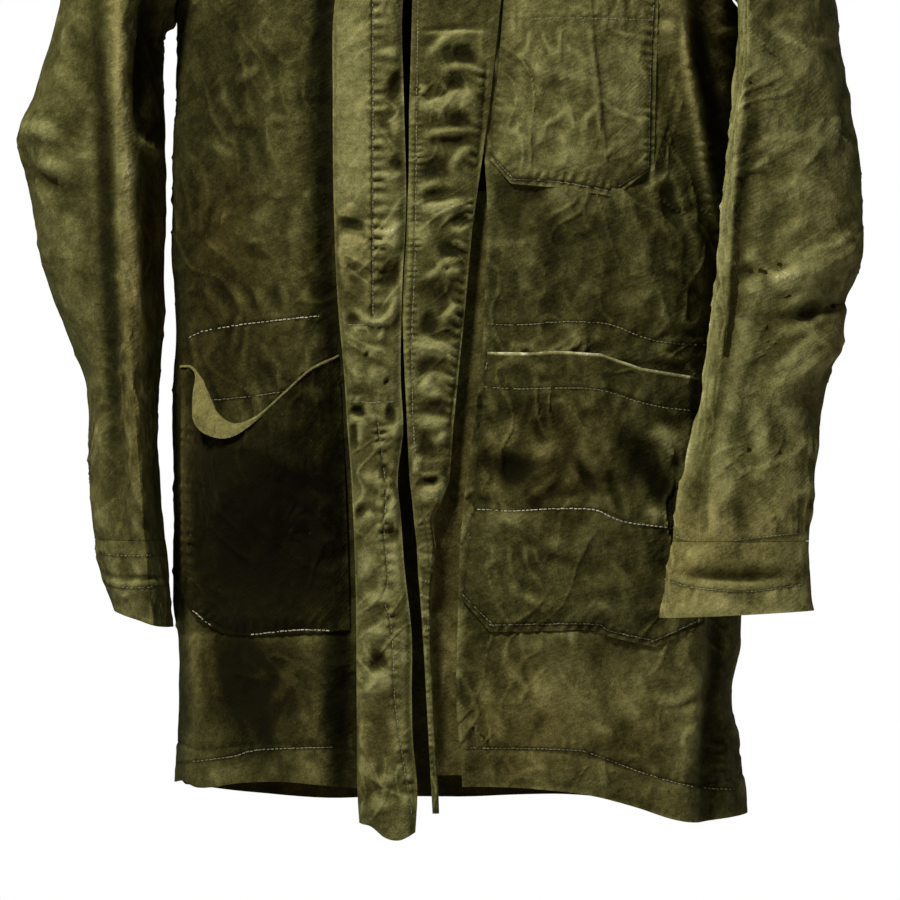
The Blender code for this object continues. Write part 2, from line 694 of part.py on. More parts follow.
def front_panel(name, side, inner_edge, near_edge, spread, material):
    """A front in one piece from hem to shoulder. Its columns run with the turn."""
    levels = np.linspace(0, 1, BODY_ROWS, endpoint=False)
    rows = []
    for level in levels:
        z = np.full(len(near_edge) + spread, HEM_GUESS_Z) * (1 - level) + UNDERARM_Z * level
        for _ in range(2):
            turns = np.array(
                [front_columns(side, zk, inner_edge(zk), near_edge, spread)[k] for k, zk in enumerate(z)]
            )
            hem = read(FRONT_HEM, "z", torso(turns, z)[:, 0], key="x")
            z = hem * (1 - level) + UNDERARM_Z * level
        rows.append(pairs(turns, z))
    under = pairs(front_columns(side, UNDERARM_Z, inner_edge(UNDERARM_Z), near_edge, spread), UNDERARM_Z)
    arcs = arc_of(under[:, 0])
    share = (arcs - arcs[0]) / (arcs[-1] - arcs[0])

    neck_x = LEFT_NECK_X if side > 0 else RIGHT_NECK_X
    start = np.arcsin(np.clip(abs(neck_x) / NECK_HALF, 0, 1))
    corner_z = NECK_POINT_Z - FRONT_NECK_DROP * np.cos(start)
    straight_z = np.linspace(UNDERARM_Z, corner_z, NECK_CORNER_ROW + 1)
    straight_x = np.array([inner_edge(z) for z in straight_z])
    straight_x[-1] = neck_x
    round_neck = np.linspace(start, np.pi / 2, ARMHOLE_ROWS - NECK_CORNER_ROW + 1)[1:]
    neck_xs, neck_zs = neckline(round_neck)
    inner_x = np.concatenate([straight_x, side * neck_xs])
    inner_z = np.concatenate([straight_z, neck_zs])
    inner = pairs(turn_at(inner_x, inner_z), inner_z)
    rise = np.linspace(0, 1, ARMHOLE_ROWS + 1)
    outer = pairs(*armhole(rise, side, "front"))
    outer[0] = under[-1]
    seam_x = side * (NECK_HALF + (SHOULDER_TIP_X - NECK_HALF) * share)
    top = pairs(turn_at(seam_x, shoulder_z(seam_x)), shoulder_z(seam_x))
    top[0] = inner[-1]
    patch = blend_patch(under, top, inner, outer, share)
    grid = np.concatenate([np.array(rows), patch])
    if side < 0:
        grid = grid[:, ::-1]
    turn = grid[..., 0]
    z = grid[..., 1]
    normal = torso_normal(turn, z)
    points = torso(turn, z) + normal * front_lift(turn, z, side)[..., None]
    points[-1, :, 1] -= SEAM_GAP / 2
    normals = grid_normals(points, False)
    seam = -1 if side > 0 else 0
    normals[:, seam] = normal[:, seam]
    normals[-1] = unit(np.array([side * SHOULDER_SLOPE, 0, 1.0]))
    return wall(name, points, material, normals=normals)


def back_panel(name, material):
    """The back in one piece, from the left side seam round to the right one."""
    levels = np.linspace(0, 1, BODY_ROWS, endpoint=False)
    steps = np.linspace(0, 1, BACK_COLUMNS + 1)

    def columns(z):
        left = arc_of(np.radians(read(SIDE_SEAM, "left", z))) + SEAM_GAP / 2
        right = arc_of(np.radians(read(SIDE_SEAM, "right", z)) + FULL_TURN) - SEAM_GAP / 2
        return turn_of(left + (right - left) * steps)

    rows = []
    for level in levels:
        z = np.full(BACK_COLUMNS + 1, BACK_HEM_GUESS_Z) * (1 - level) + UNDERARM_Z * level
        for _ in range(2):
            turns = np.array([columns(zk)[k] for k, zk in enumerate(z)])
            x = torso(turns, z)[:, 0]
            hem = read(BACK_HEM, "z", x, key="x")
            # the corners meet the fronts' hems at the side seams
            hem[0] = read(FRONT_HEM, "z", x[:1], key="x")[0]
            hem[-1] = read(FRONT_HEM, "z", x[-1:], key="x")[0]
            z = hem * (1 - level) + UNDERARM_Z * level
        rows.append(pairs(turns, z))
    under = pairs(columns(UNDERARM_Z), UNDERARM_Z)
    rise = np.linspace(0, 1, ARMHOLE_ROWS + 1)
    left = pairs(*armhole(rise, 1, "back"))
    right = pairs(*armhole(rise, -1, "back"))
    left[0] = under[0]
    right[0] = under[-1]
    third = BACK_COLUMNS // 3
    shoulder = np.linspace(SHOULDER_TIP_X, NECK_HALF, third + 1)
    neck_x, neck_z = neckline(np.linspace(np.pi / 2, 3 * np.pi / 2, third + 1)[1:-1])
    top_x = np.concatenate([shoulder, neck_x, -shoulder[::-1]])
    top_z = np.concatenate([shoulder_z(shoulder), neck_z, shoulder_z(shoulder[::-1])])
    top = pairs(turn_at(top_x, top_z, "back"), top_z)
    top[0] = left[-1]
    top[-1] = right[-1]
    patch = blend_patch(under, top, left, right, steps)
    grid = np.concatenate([np.array(rows), patch])
    turn = grid[..., 0]
    z = grid[..., 1]
    plain = torso(turn, z)
    lift = folds(BACK_FOLDS, plain[..., 0], z)
    aside = np.minimum(steps, 1 - steps)[None, :]
    quiet = ease(aside / 0.08) * ease((shoulder_z(plain[..., 0]) - z) / 0.060)
    normal = torso_normal(turn, z)
    points = plain + normal * (lift * quiet)[..., None]
    points[-1, :, 1] += SEAM_GAP / 2
    normals = grid_normals(points, False)
    normals[:, 0] = normal[:, 0]
    normals[:, -1] = normal[:, -1]
    for side, sewn in ((1, slice(0, third + 1)), (-1, slice(2 * third, None))):
        normals[-1, sewn] = unit(np.array([side * SHOULDER_SLOPE, 0, 1.0]))
    return wall(name, points, material, normals=normals)


# --- the front opening -------------------------------------------------------------------------


def strip_rows(low, high, rows):
    return np.linspace(0, 1, rows)[:, None] * (high - low) + low


def stand_off(across, z):
    """The button stand's height over the plain wall: a rounded fold, a flat face, a soft edge."""
    face = 0.0010 + 0.0070 * ease(across / 0.10) - 0.0035 * ease((across - 0.86) / 0.14)
    face = face - 0.0012 * np.exp(-(((across - 0.60) / 0.05) ** 2))
    low_neck = ease((STRIP_TOP_Z - z) / STRIP_SETTLES)
    bumps = 0 * across
    for a, z0, wide, tall, high in zip(*(STAND_CRUMPLES[k] for k in "across z wide tall high".split())):
        bumps = bumps + high * np.exp(-(((across - a) / wide) ** 2) - ((z - z0) / tall) ** 2)
    return 0.0030 + (face - 0.0030 + bumps) * low_neck


def right_button_stand(name, material):
    across = np.array([0.0, 0.07, 0.18, 0.38, 0.60, 0.82, 1.0])
    rows = 46
    low = read(STAND_HEM, "z", across, key="across")
    z = strip_rows(low, np.full(len(across), STRIP_TOP_Z), rows)
    x = 0 * z
    for _ in range(3):
        x = read(STAND, "fold", z) * (1 - across) + read(STAND, "edge", z) * across
        top = neckline(np.arcsin(np.clip(np.abs(x[-1]) / NECK_HALF, 0, 1)))[1] - STRIP_TOP_GAP
        z = strip_rows(low, top, rows)
    turn = turn_at(x, z)
    points = torso(turn, z) + torso_normal(turn, z) * stand_off(across + 0 * z, z)[..., None]
    return wall(name, points, material)


def fly_off(across, z):
    """The fly's height over the plain wall, with its leaning gathers."""
    face = 0.0035 + 0.0030 * ease(across / 0.15) - 0.0037 * ease((across - 0.80) / 0.20)
    gathers = 0 * across
    for z0, lean, high in zip(*(FLY_GATHERS[k] for k in "z lean high".split())):
        middle = z0 + lean * (across - 0.5)
        gathers = gathers + high * np.exp(-(((z - middle) / GATHER_TALL) ** 2))
    inside = np.sin(np.pi * np.clip(across, 0, 1)) ** 0.7
    gathered = face + (gathers - 0.0012) * inside * ease((z - FLY_STRIP_Z) / 0.015)
    return 0.0028 + (gathered - 0.0028) * ease((STRIP_TOP_Z - z) / STRIP_SETTLES)


def left_fly(name, material):
    across = np.array([0.0, 0.12, 0.32, 0.55, 0.78, 1.0])
    wide_z = np.linspace(FLY_STRIP_Z, STRIP_TOP_Z, 47)
    strip_z = np.linspace(FLY_END_Z, FLY_STRIP_Z, 14)[:-1]
    z = np.concatenate([strip_z, wide_z])[:, None] + 0 * across
    x = read(FLY, "edge", z, smooth=False) * (1 - across) + read(FLY, "seam", z, smooth=False) * across
    top = neckline(np.arcsin(np.clip(np.abs(x[-1]) / NECK_HALF, 0, 1)))[1] - STRIP_TOP_GAP
    stretch = (z - STRIP_BEND_Z) / (STRIP_TOP_Z - STRIP_BEND_Z)
    z = np.where(z > STRIP_BEND_Z, z + (top - z[-1]) * stretch, z)
    turn = turn_at(x, z)
    points = torso(turn, z) + torso_normal(turn, z) * fly_off(across + 0 * z, z)[..., None]
    return wall(name, points, material)


def left_facing(name, material):
    """The layer behind the fold of the left front, which carries the fly's lower edge."""
    across = np.array([0.0, 0.15, 0.45, 0.75, 1.0])
    z = strip_rows(np.full(5, FACING_END_Z), np.full(5, FACING_TOP_Z), 22)
    left = read(FACING_LEFT, "x", z)
    right = read(LEFT_EDGE, "x", z) + 0.006
    x = left * (1 - across) + right * across
    under = front_lift(turn_at(right, z), z, 1) - LAID_ON + FACING_OFF
    lift = FACING_OFF * (1 - across) + under * across - FACING_DIP * np.sin(np.pi * across)
    turn = turn_at(x, z)
    points = torso(turn, z) + torso_normal(turn, z) * lift[..., None]
    return wall(name, points, material)


# --- pockets -----------------------------------------------------------------------------------


def patch_pocket(name, panel, outline, columns, rows, material):
    """A closed pocket that lies on a front; its outline is its sides, its bottom and its mouth."""
    corners, bottom, mouth = outline
    u = np.linspace(0, 1, columns + 1)
    v = np.linspace(0, 1, rows + 1)[:, None]
    ends = []
    for level, line in ((0, bottom), (-1, mouth)):
        low_z = corners["z"][level]
        arcs = arc_of(turn_at(np.array([corners["left"][level], corners["right"][level]]), low_z))
        x = torso(turn_of(arcs[0] + (arcs[1] - arcs[0]) * u), np.full(len(u), low_z))[:, 0]
        ends.append((x, read(line, "z", x, key="x", smooth=False)))
    x = ends[0][0] * (1 - v) + ends[1][0] * v
    z = ends[0][1] * (1 - v) + ends[1][1] * v
    belly = np.sin(np.pi * u) * np.sin(np.pi * np.clip(v * 0.75, 0, 1))
    return wall(name, laid_on(panel, turn_at(x, z), z, ON_FACE + POCKET_BELLY * belly), material)


def sagging_pocket(name, panel, material):
    """The right lower pocket, whose mouth hangs forward in a U."""
    u = np.concatenate([np.linspace(0, 0.82, 13), (0.87, 0.91, 0.94, 0.97, 1.0)])
    v = np.linspace(0, 1, 12)[:, None]
    outer, inner = RIGHT_POCKET_CORNERS
    arcs = arc_of(turn_at(np.array([outer, inner]), POCKET_FOOT_Z))
    foot = np.full(len(u), POCKET_FOOT_Z)
    low_x = torso(turn_of(arcs[0] + (arcs[1] - arcs[0]) * u), foot)[:, 0]
    low_z = read(RIGHT_POCKET_BOTTOM, "z", u, key="across", smooth=False)
    high_x = read(SAGGING_MOUTH, "x", u, key="across")
    high_z = read(SAGGING_MOUTH, "z", u, key="across")
    off = read(SAGGING_MOUTH, "off", u, key="across")
    x = low_x * (1 - v**1.4) + high_x * v**1.4
    z = low_z * (1 - v) + high_z * v
    belly = SAGGING_BELLY * np.sin(np.pi * u) * np.sin(np.pi * v)
    off = ON_FACE + SAGGING_CLEAR + off * ease((v - 0.18) / 0.62) + belly
    return wall(name, laid_on(panel, turn_at(x, z), z, off), material)


# --- sleeves -----------------------------------------------------------------------------------


def sleeve_ring(cut, z):
    """One level section of a sleeve, in columns from below the underarm by way of the front."""
    rows, bulges, turned = cut
    inner, outer, front, back, crease, inner_y = (
        read(rows, name, z) for name in "inner outer front back crease inner_y".split()
    )
    corners = np.array(
        [
            (inner, inner_y),
            (crease, front),
            (outer, 0.5 * (front + back)),
            ((inner + outer) / 2, back),
            (inner, inner_y),
        ]
    )
    around = sleeve_around(turned)
    quarter = np.floor(around).astype(int)
    t = around - quarter
    swing = t * np.pi / 2
    leaving_upright = quarter % 2 == 0
    share_x = np.where(leaving_upright, 1 - np.cos(swing), np.sin(swing))
    share_y = np.where(leaving_upright, np.sin(swing), 1 - np.cos(swing))
    bulge = np.array(bulges)[quarter][:, None]
    share = bulge * np.stack([share_x, share_y], axis=-1) + (1 - bulge) * t[:, None]
    ring = corners[quarter] + (corners[quarter + 1] - corners[quarter]) * share
    return np.concatenate([ring, np.full((len(ring), 1), z)], axis=1)


def sleeve_around(turned):
    """Each column's place round a section: 0 inner side, 1 front crease, 2 outer side, 3 back."""
    return (np.arange(SLEEVE_COLUMNS) + turned) / (SLEEVE_COLUMNS / 4) % 4


def sleeve_lift(rows, around, z):
    """The height of a sleeve's folds, by place round it and by height."""
    high = 0 * around
    names = "around0 z0 around1 z1 wide high".split()
    for a0, z0, a1, z1, wide, tall in zip(*(rows[k] for k in names)):
        t = np.clip((z - z0) / (z1 - z0), 0, 1)
        beyond = np.maximum(np.maximum(z - z0, z1 - z), 0) / (0.25 * abs(z1 - z0) + 0.012)
        off = (around - a0 - (a1 - a0) * t + 2) % 4 - 2
        high = high + tall * np.exp(-((off / wide) ** 2) - beyond**2)
    return high


def armhole_ring(side):
    """The armhole's edge from the underarm by way of the front, and how a sleeve leaves it."""
    rise = np.linspace(0, 1, ARMHOLE_ROWS + 1)
    front = pairs(*armhole(rise, side, "front"))
    back = pairs(*armhole(rise, side, "back"))
    ring = np.concatenate([front, back[-2:0:-1]])
    rises = np.concatenate([rise, rise[-2:0:-1]])[:, None]
    points = torso(ring[:, 0], ring[:, 1])
    normal = torso_normal(ring[:, 0], ring[:, 1])
    tangent = unit(np.roll(points, -1, axis=0) - np.roll(points, 1, axis=0))
    over = unit(np.cross(tangent, normal)) * side
    start = points + over * SLEEVE_BESIDE + normal * SLEEVE_OVER * (1 - rises) ** 2
    leave = unit(over * rises + normal * 0.9 + np.array([side * 0.6, 0, -0.6]) * (1.2 - rises))
    return start, leave


def sleeve(name, side, cut, fold_rows, lean, material):
    start, leave = armhole_ring(side)
    top = sleeve_ring(cut, SLEEVE_TOP_Z)
    reach = np.linalg.norm(top - start, axis=1)[:, None]
    first = start + leave * 0.38 * reach
    second = top + unit(np.array([-side * lean, 0, 1.0])) * 0.36 * reach
    cap = [
        (1 - s) ** 3 * start + 3 * s * (1 - s) ** 2 * first + 3 * s * s * (1 - s) * second + s**3 * top
        for s in CAP_STEPS
    ]
    levels = np.linspace(SLEEVE_TOP_Z, CUFF_SEAM_Z + SEAM_GAP, SLEEVE_ROWS)
    grid = np.array(cap + [sleeve_ring(cut, z) for z in levels])
    outward = grid_normals(grid, True)
    middle = grid.mean(axis=1, keepdims=True)
    outward = outward * np.sign(np.sum(outward * (grid - middle)))
    around = sleeve_around(cut[2]) + 0 * grid[..., 0]
    grid = grid + outward * sleeve_lift(fold_rows, around, grid[..., 2])[..., None]
    return wall(name, grid, material, tube=True)


def cuff(name, cut, end, material):
    """A cuff band, whose end runs a little aslant."""
    last = sleeve_ring(cut, (end[0] + end[1]) / 2)
    share = (last[:, 0] - last[:, 0].min()) / np.ptp(last[:, 0])
    if last[:, 0].mean() < 0:
        share = 1 - share
    end_z = end[0] + (end[1] - end[0]) * share
    rings = []
    for step in CUFF_STEPS:
        z = CUFF_SEAM_Z + (end_z - CUFF_SEAM_Z) * step
        rings.append(np.array([sleeve_ring(cut, zk)[k] for k, zk in enumerate(z)]))
    return wall(name, np.array(rings), material, tube=True)


# --- collar ------------------------------------------------------------------------------------


def collar(name, material):
    """A stand round the neck and a fall turned down over it, in one wall."""
    ends = np.arcsin(np.abs(COLLAR_END_X) / NECK_HALF)
    joins = np.arcsin(np.abs([LEFT_NECK_X, RIGHT_NECK_X]) / NECK_HALF)
    angle = np.concatenate(
        [
            [ends[0]],
            np.linspace(joins[0], np.pi / 2, COLLAR_FRONT_STEPS + 1),
            np.linspace(np.pi / 2, 1.5 * np.pi, COLLAR_BACK_STEPS + 1)[1:-1],
            np.linspace(1.5 * np.pi, FULL_TURN - joins[1], COLLAR_FRONT_STEPS + 1),
            [FULL_TURN - ends[1]],
        ]
    )
    x, z = neckline(angle)
    front = np.cos(angle) > 0
    turn = np.where(front, turn_at(x, z), turn_at(x, z, "back"))
    base = torso(turn, z)
    tangent = np.gradient(base, axis=0)
    out = unit(np.cross(tangent, np.array([0, 0, 1.0])))
    grid = [base + out * o + np.array([0, 0, u]) for o, u in zip(STAND_PROFILE["out"], STAND_PROFILE["up"])]
    fall_x = FALL_HALF * np.sin(angle)
    drop = np.where(front, FALL_FRONT_DROP, FALL_BACK_DROP)
    from_end = np.minimum(angle - angle[0], angle[-1] - angle)
    drop = drop + FALL_POINT * np.exp(-((from_end / 0.40) ** 2))
    fall_z = shoulder_z(FALL_HALF) - drop * np.abs(np.cos(angle))
    fall_turn = np.where(front, turn_at(fall_x, fall_z), turn_at(fall_x, fall_z, "back"))
    fall_off = FALL_OFF_FRONT + (FALL_OFF - FALL_OFF_FRONT) * ease(from_end / 0.9)
    edge = torso(fall_turn, fall_z) + torso_normal(fall_turn, fall_z) * fall_off[:, None]
    edge[:, 2] += 0.0050 * np.exp(-((np.cos(angle) / 0.35) ** 2))
    top = grid[-1]
    for share, swell in ((0.35, 0.0030), (0.70, 0.0025), (1.0, 0.0)):
        grid.append(top + (edge - top) * share + (out * 0.8 + np.array([0, 0, 0.8])) * swell)
    return wall(name, np.array(grid), material)


# --- build -------------------------------------------------------------------------------------

for old in list(bpy.data.objects):
    bpy.data.objects.remove(old, do_unlink=True)

GARMENT = bpy.data.collections.new("military_shirt")
bpy.context.scene.collection.children.link(GARMENT)


def main():
    right_front = front_panel(
        "right_front",
        -1,
        lambda z: float(read(STAND, "fold", z)) + STAND_TUCK,
        RIGHT_EDGE_COLUMNS,
        RIGHT_FRONT_COLUMNS,
        cloth_material("right_front_cloth", CLOTH_COLOUR),
    )
    left_front = front_panel(
        "left_front",
        1,
        lambda z: float(read(LEFT_EDGE, "x", z)),
        LEFT_EDGE_COLUMNS,
        LEFT_FRONT_COLUMNS,
        cloth_material("left_front_cloth", CLOTH_COLOUR),
    )
    back_panel("back", cloth_material("back_cloth", CLOTH_COLOUR))
    right_button_stand("right_button_stand", cloth_material("button_stand_cloth", STRIP_COLOUR))
    left_fly("left_fly", cloth_material("fly_cloth", STRIP_COLOUR))
    left_facing("left_facing", cloth_material("facing_cloth", CLOTH_COLOUR))

    right_cut = (RIGHT_SLEEVE, RIGHT_BULGES, 0)
    left_cut = (LEFT_SLEEVE, LEFT_BULGES, LEFT_TURNED)
    right_cloth = cloth_material("right_sleeve_cloth", CLOTH_COLOUR)
    left_cloth = cloth_material("left_sleeve_cloth", CLOTH_COLOUR)
    sleeve("right_sleeve", -1, right_cut, RIGHT_SLEEVE_FOLDS, RIGHT_LEAN, right_cloth)
    sleeve("left_sleeve", 1, left_cut, LEFT_SLEEVE_FOLDS, LEFT_LEAN, left_cloth)
    cuff("right_cuff", right_cut, RIGHT_CUFF_END, cloth_material("right_cuff_cloth", STRIP_COLOUR))
    cuff("left_cuff", left_cut, LEFT_CUFF_END, cloth_material("left_cuff_cloth", STRIP_COLOUR))
    collar("collar", cloth_material("collar_cloth", CLOTH_COLOUR))

    chest = (CHEST_POCKET, CHEST_BOTTOM, CHEST_MOUTH)
    lower = (LEFT_POCKET, LEFT_POCKET_BOTTOM, LEFT_POCKET_MOUTH)
    chest_cloth = cloth_material("chest_pocket_cloth", POCKET_COLOUR)
    left_pocket_cloth = cloth_material("left_pocket_cloth", POCKET_COLOUR)
    right_pocket_cloth = cloth_material("right_pocket_cloth", POCKET_COLOUR)
    patch_pocket("chest_pocket", left_front, chest, 9, 8, chest_cloth)
    patch_pocket("left_lower_pocket", left_front, lower, 13, 10, left_pocket_cloth)
    sagging_pocket("right_lower_pocket", right_front, right_pocket_cloth)


main()
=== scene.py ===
import bpy
import numpy as np
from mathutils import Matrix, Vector
from mathutils.bvhtree import BVHTree


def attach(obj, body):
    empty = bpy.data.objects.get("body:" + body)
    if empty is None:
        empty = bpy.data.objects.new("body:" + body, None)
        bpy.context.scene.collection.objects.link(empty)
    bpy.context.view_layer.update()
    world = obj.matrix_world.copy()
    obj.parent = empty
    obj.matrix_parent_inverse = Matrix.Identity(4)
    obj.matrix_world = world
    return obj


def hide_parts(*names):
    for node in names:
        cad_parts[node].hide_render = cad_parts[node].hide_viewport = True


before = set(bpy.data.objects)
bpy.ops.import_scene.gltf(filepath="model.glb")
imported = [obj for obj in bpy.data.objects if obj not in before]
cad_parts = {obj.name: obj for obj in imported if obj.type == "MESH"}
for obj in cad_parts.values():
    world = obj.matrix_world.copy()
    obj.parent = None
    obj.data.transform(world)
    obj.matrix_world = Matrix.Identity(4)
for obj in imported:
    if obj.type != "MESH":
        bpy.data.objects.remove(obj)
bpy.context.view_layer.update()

# --- the shirt's own sizes, in metres, as its solids have them -----------------------------------

SEAM_GAP = 0.0004  # clearance between two pieces at a seam
UNDERARM_Z = -0.250
BODY_ROUNDNESS = 2.5  # 2 is an ellipse, more is squarer
CHEST_ROUNDNESS = 2.4
SHOULDER_ROUNDNESS = 0.6
NECK_HALF = 0.075
NECK_POINT_Z = -0.008
FRONT_NECK_DROP = 0.080
BACK_NECK_DROP = 0.018
SHOULDER_TIP_X = 0.250
SHOULDER_SLOPE = 0.27
STAND_TUCK = 0.009  # how far the right front runs on under its button stand
SLEEVE_TOP_Z = -0.262
CUFF_SEAM_Z = -0.673
FULL_TURN = 2 * np.pi


def table(names, *rows):
    """A short table, kept as one array for each named column."""
    return {name: np.array(column, float) for name, column in zip(names.split(), zip(*rows))}


# The body's rings: half width on the wearer's right and left, depth to the front and the back
TORSO = table(
    "z right left front back",
    (-0.920, 0.2320, 0.2420, 0.136, 0.146),
    (-0.873, 0.2300, 0.2380, 0.136, 0.145),
    (-0.840, 0.2270, 0.2335, 0.135, 0.144),
    (-0.800, 0.2255, 0.2275, 0.134, 0.143),
    (-0.757, 0.2240, 0.2350, 0.133, 0.141),
    (-0.735, 0.2290, 0.2360, 0.132, 0.140),
    (-0.690, 0.2315, 0.2340, 0.131, 0.137),
    (-0.600, 0.2325, 0.2280, 0.129, 0.131),
    (-0.545, 0.2325, 0.2265, 0.128, 0.129),
    (-0.510, 0.2300, 0.2250, 0.127, 0.127),
    (-0.450, 0.2330, 0.2245, 0.126, 0.126),
    (-0.400, 0.2335, 0.2255, 0.124, 0.125),
    (-0.350, 0.2330, 0.2300, 0.122, 0.124),
    (-0.300, 0.2295, 0.2350, 0.120, 0.123),
    (-0.250, 0.2290, 0.2370, 0.118, 0.122),
    (-0.150, 0.2360, 0.2380, 0.114, 0.119),
    (-0.050, 0.2500, 0.2500, 0.112, 0.117),
)

# Where the side seams run, in degrees round from centre front
SIDE_SEAM = table(
    "z right left",
    (-0.920, -97.0, 76.0),
    (-0.750, -96.0, 77.0),
    (-0.500, -94.0, 81.0),
    (-0.250, -92.0, 86.0),
)

# The armhole's front and back edges, in degrees from centre front and from centre back
ARMHOLE = table(
    "rise front back",
    (0.00, 90.0, 90.0),
    (0.10, 80.0, 80.0),
    (0.30, 71.0, 71.0),
    (0.55, 68.0, 68.0),
    (0.80, 73.0, 72.0),
    (1.00, 90.0, 90.0),
)

# The right button stand: its outer fold, its front edge
STAND = table(
    "z fold edge",
    (-0.912, -0.0750, -0.0320),
    (-0.872, -0.0776, -0.0300),
    (-0.832, -0.0779, -0.0336),
    (-0.792, -0.0782, -0.0345),
    (-0.752, -0.0784, -0.0344),
    (-0.688, -0.0796, -0.0408),
    (-0.656, -0.0808, -0.0430),
    (-0.624, -0.0824, -0.0456),
    (-0.584, -0.0856, -0.0415),
    (-0.544, -0.0880, -0.0432),
    (-0.480, -0.0936, -0.0424),
    (-0.400, -0.0968, -0.0390),
    (-0.320, -0.0976, -0.0408),
    (-0.240, -0.0960, -0.0416),
    (-0.160, -0.0780, -0.0290),
    (-0.080, -0.0530, -0.0150),
)

# The left fly: its free edge, and the seam that holds it, below which it is a narrow raw edge
FLY = table(
    "z edge seam",
    (-0.890, -0.0175, -0.0130),
    (-0.872, -0.0185, -0.0136),
    (-0.816, -0.0215, -0.0168),
    (-0.768, -0.0240, -0.0190),
    (-0.716, -0.0275, -0.0200),
    (-0.700, -0.0290, -0.0175),
    (-0.676, -0.0302, -0.0155),
    (-0.656, -0.0325, -0.0185),
    (-0.640, -0.0340, -0.0100),
    (-0.624, -0.0360, -0.0045),
    (-0.584, -0.0380, -0.0016),
    (-0.528, -0.0406, 0.0040),
    (-0.488, -0.0420, 0.0080),
    (-0.424, -0.0386, 0.0136),
    (-0.376, -0.0368, 0.0205),
    (-0.328, -0.0366, 0.0272),
    (-0.240, -0.0340, 0.0368),
    (-0.160, -0.0220, 0.0396),
    (-0.080, -0.0070, 0.0414),
)

# The left front's inner edge: along the fly's seam, then a pressed fold that stands off it
LEFT_EDGE = table(
    "z x",
    (-0.900, 0.0080),
    (-0.864, 0.0056),
    (-0.800, 0.0010),
    (-0.728, 0.0024),
    (-0.688, 0.0035),
    (-0.640, 0.0072),
    (-0.568, 0.0168),
    (-0.504, 0.0224),
    (-0.440, 0.0250),
    (-0.400, 0.0256),
    (-0.360, 0.0238),
    (-0.328, 0.0258),
    (-0.240, 0.0350),
    (-0.160, 0.0380),
    (-0.080, 0.0400),
)

# The layer behind the left front's edge
FACING_TOP_Z = -0.392
FACING_END_Z = -0.860
FACING_LEFT = table(
    "z x",
    (-0.860, -0.0170),
    (-0.760, -0.0215),
    (-0.700, -0.0210),
    (-0.660, -0.0210),
    (-0.624, -0.0150),
    (-0.528, -0.0060),
    (-0.392, 0.0080),
)

# Hems, seen from the front and from the back
FRONT_HEM = table(
    "x z",
    (-0.235, -0.876),
    (-0.222, -0.870),
    (-0.204, -0.8736),
    (-0.172, -0.868),
    (-0.140, -0.8664),
    (-0.092, -0.8696),
    (-0.070, -0.872),
    (0.008, -0.869),
    (0.060, -0.8705),
    (0.116, -0.8784),
    (0.148, -0.8875),
    (0.180, -0.8990),
    (0.200, -0.9007),
    (0.218, -0.8990),
    (0.240, -0.8980),
)
BACK_HEM = table(
    "x z",
    (-0.235, -0.877),
    (-0.200, -0.886),
    (-0.150, -0.894),
    (-0.050, -0.897),
    (0.080, -0.895),
    (0.160, -0.897),
    (0.240, -0.898),
)
STAND_HEM = table(
    "across z",
    (0.00, -0.898),
    (0.20, -0.900),
    (0.45, -0.909),
    (0.75, -0.911),
    (1.00, -0.905),
)

# The large folds of the fronts, as soft ridges (high above 0) and troughs (below 0)
FRONT_FOLDS = table(
    "x0 z0 x1 z1 wide high",
    (-0.205, -0.300, -0.196, -0.520, 0.020, -0.0040),
    (-0.150, -0.270, -0.132, -0.510, 0.022, 0.0050),
    (-0.176, -0.240, -0.168, -0.420, 0.015, -0.0030),
    (-0.212, -0.770, -0.196, -0.900, 0.016, 0.0060),
    (-0.188, -0.752, -0.158, -0.850, 0.017, -0.0080),
    (-0.112, -0.790, -0.104, -0.900, 0.016, 0.0050),
    (0.170, -0.200, 0.184, -0.300, 0.012, 0.0050),
    (0.184, -0.290, 0.206, -0.390, 0.012, 0.0055),
    (0.200, -0.240, 0.216, -0.360, 0.011, -0.0070),
    (0.060, -0.410, 0.120, -0.500, 0.022, -0.0035),
    (0.110, -0.380, 0.165, -0.490, 0.020, 0.0035),
    (0.188, -0.750, 0.180, -0.905, 0.015, 0.0070),
    (0.213, -0.760, 0.207, -0.900, 0.010, -0.0080),
    (0.130, -0.780, 0.142, -0.905, 0.018, -0.0050),
    (0.075, -0.770, 0.070, -0.890, 0.022, 0.0040),
)
BACK_FOLDS = table(
    "x0 z0 x1 z1 wide high",
    (-0.168, -0.250, -0.160, -0.890, 0.024, 0.0080),
    (-0.110, -0.380, -0.104, -0.900, 0.026, -0.0090),
    (-0.045, -0.300, -0.052, -0.890, 0.024, 0.0070),
    (0.022, -0.420, 0.016, -0.900, 0.026, -0.0090),
    (0.078, -0.260, 0.092, -0.890, 0.024, 0.0085),
    (0.150, -0.360, 0.146, -0.890, 0.024, -0.0070),
    (0.186, -0.300, 0.184, -0.880, 0.020, 0.0050),
    (-0.120, -0.110, -0.050, -0.190, 0.022, 0.0050),
    (0.120, -0.110, 0.060, -0.200, 0.022, 0.0050),
)
VALLEY_DEEP = 0.0120  # the deep channel beside the button stand
VALLEY_FROM_FOLD = 0.0050
VALLEY_WIDE = 0.0130
VALLEY_INNER_WIDE = 0.0090
EDGE_ROLL = 0.0028  # how far the left front's pressed edge rises
EDGE_ROLL_WIDE = 0.0080

FLY_STRIP_Z = -0.650  # below this the fly is its raw edge alone

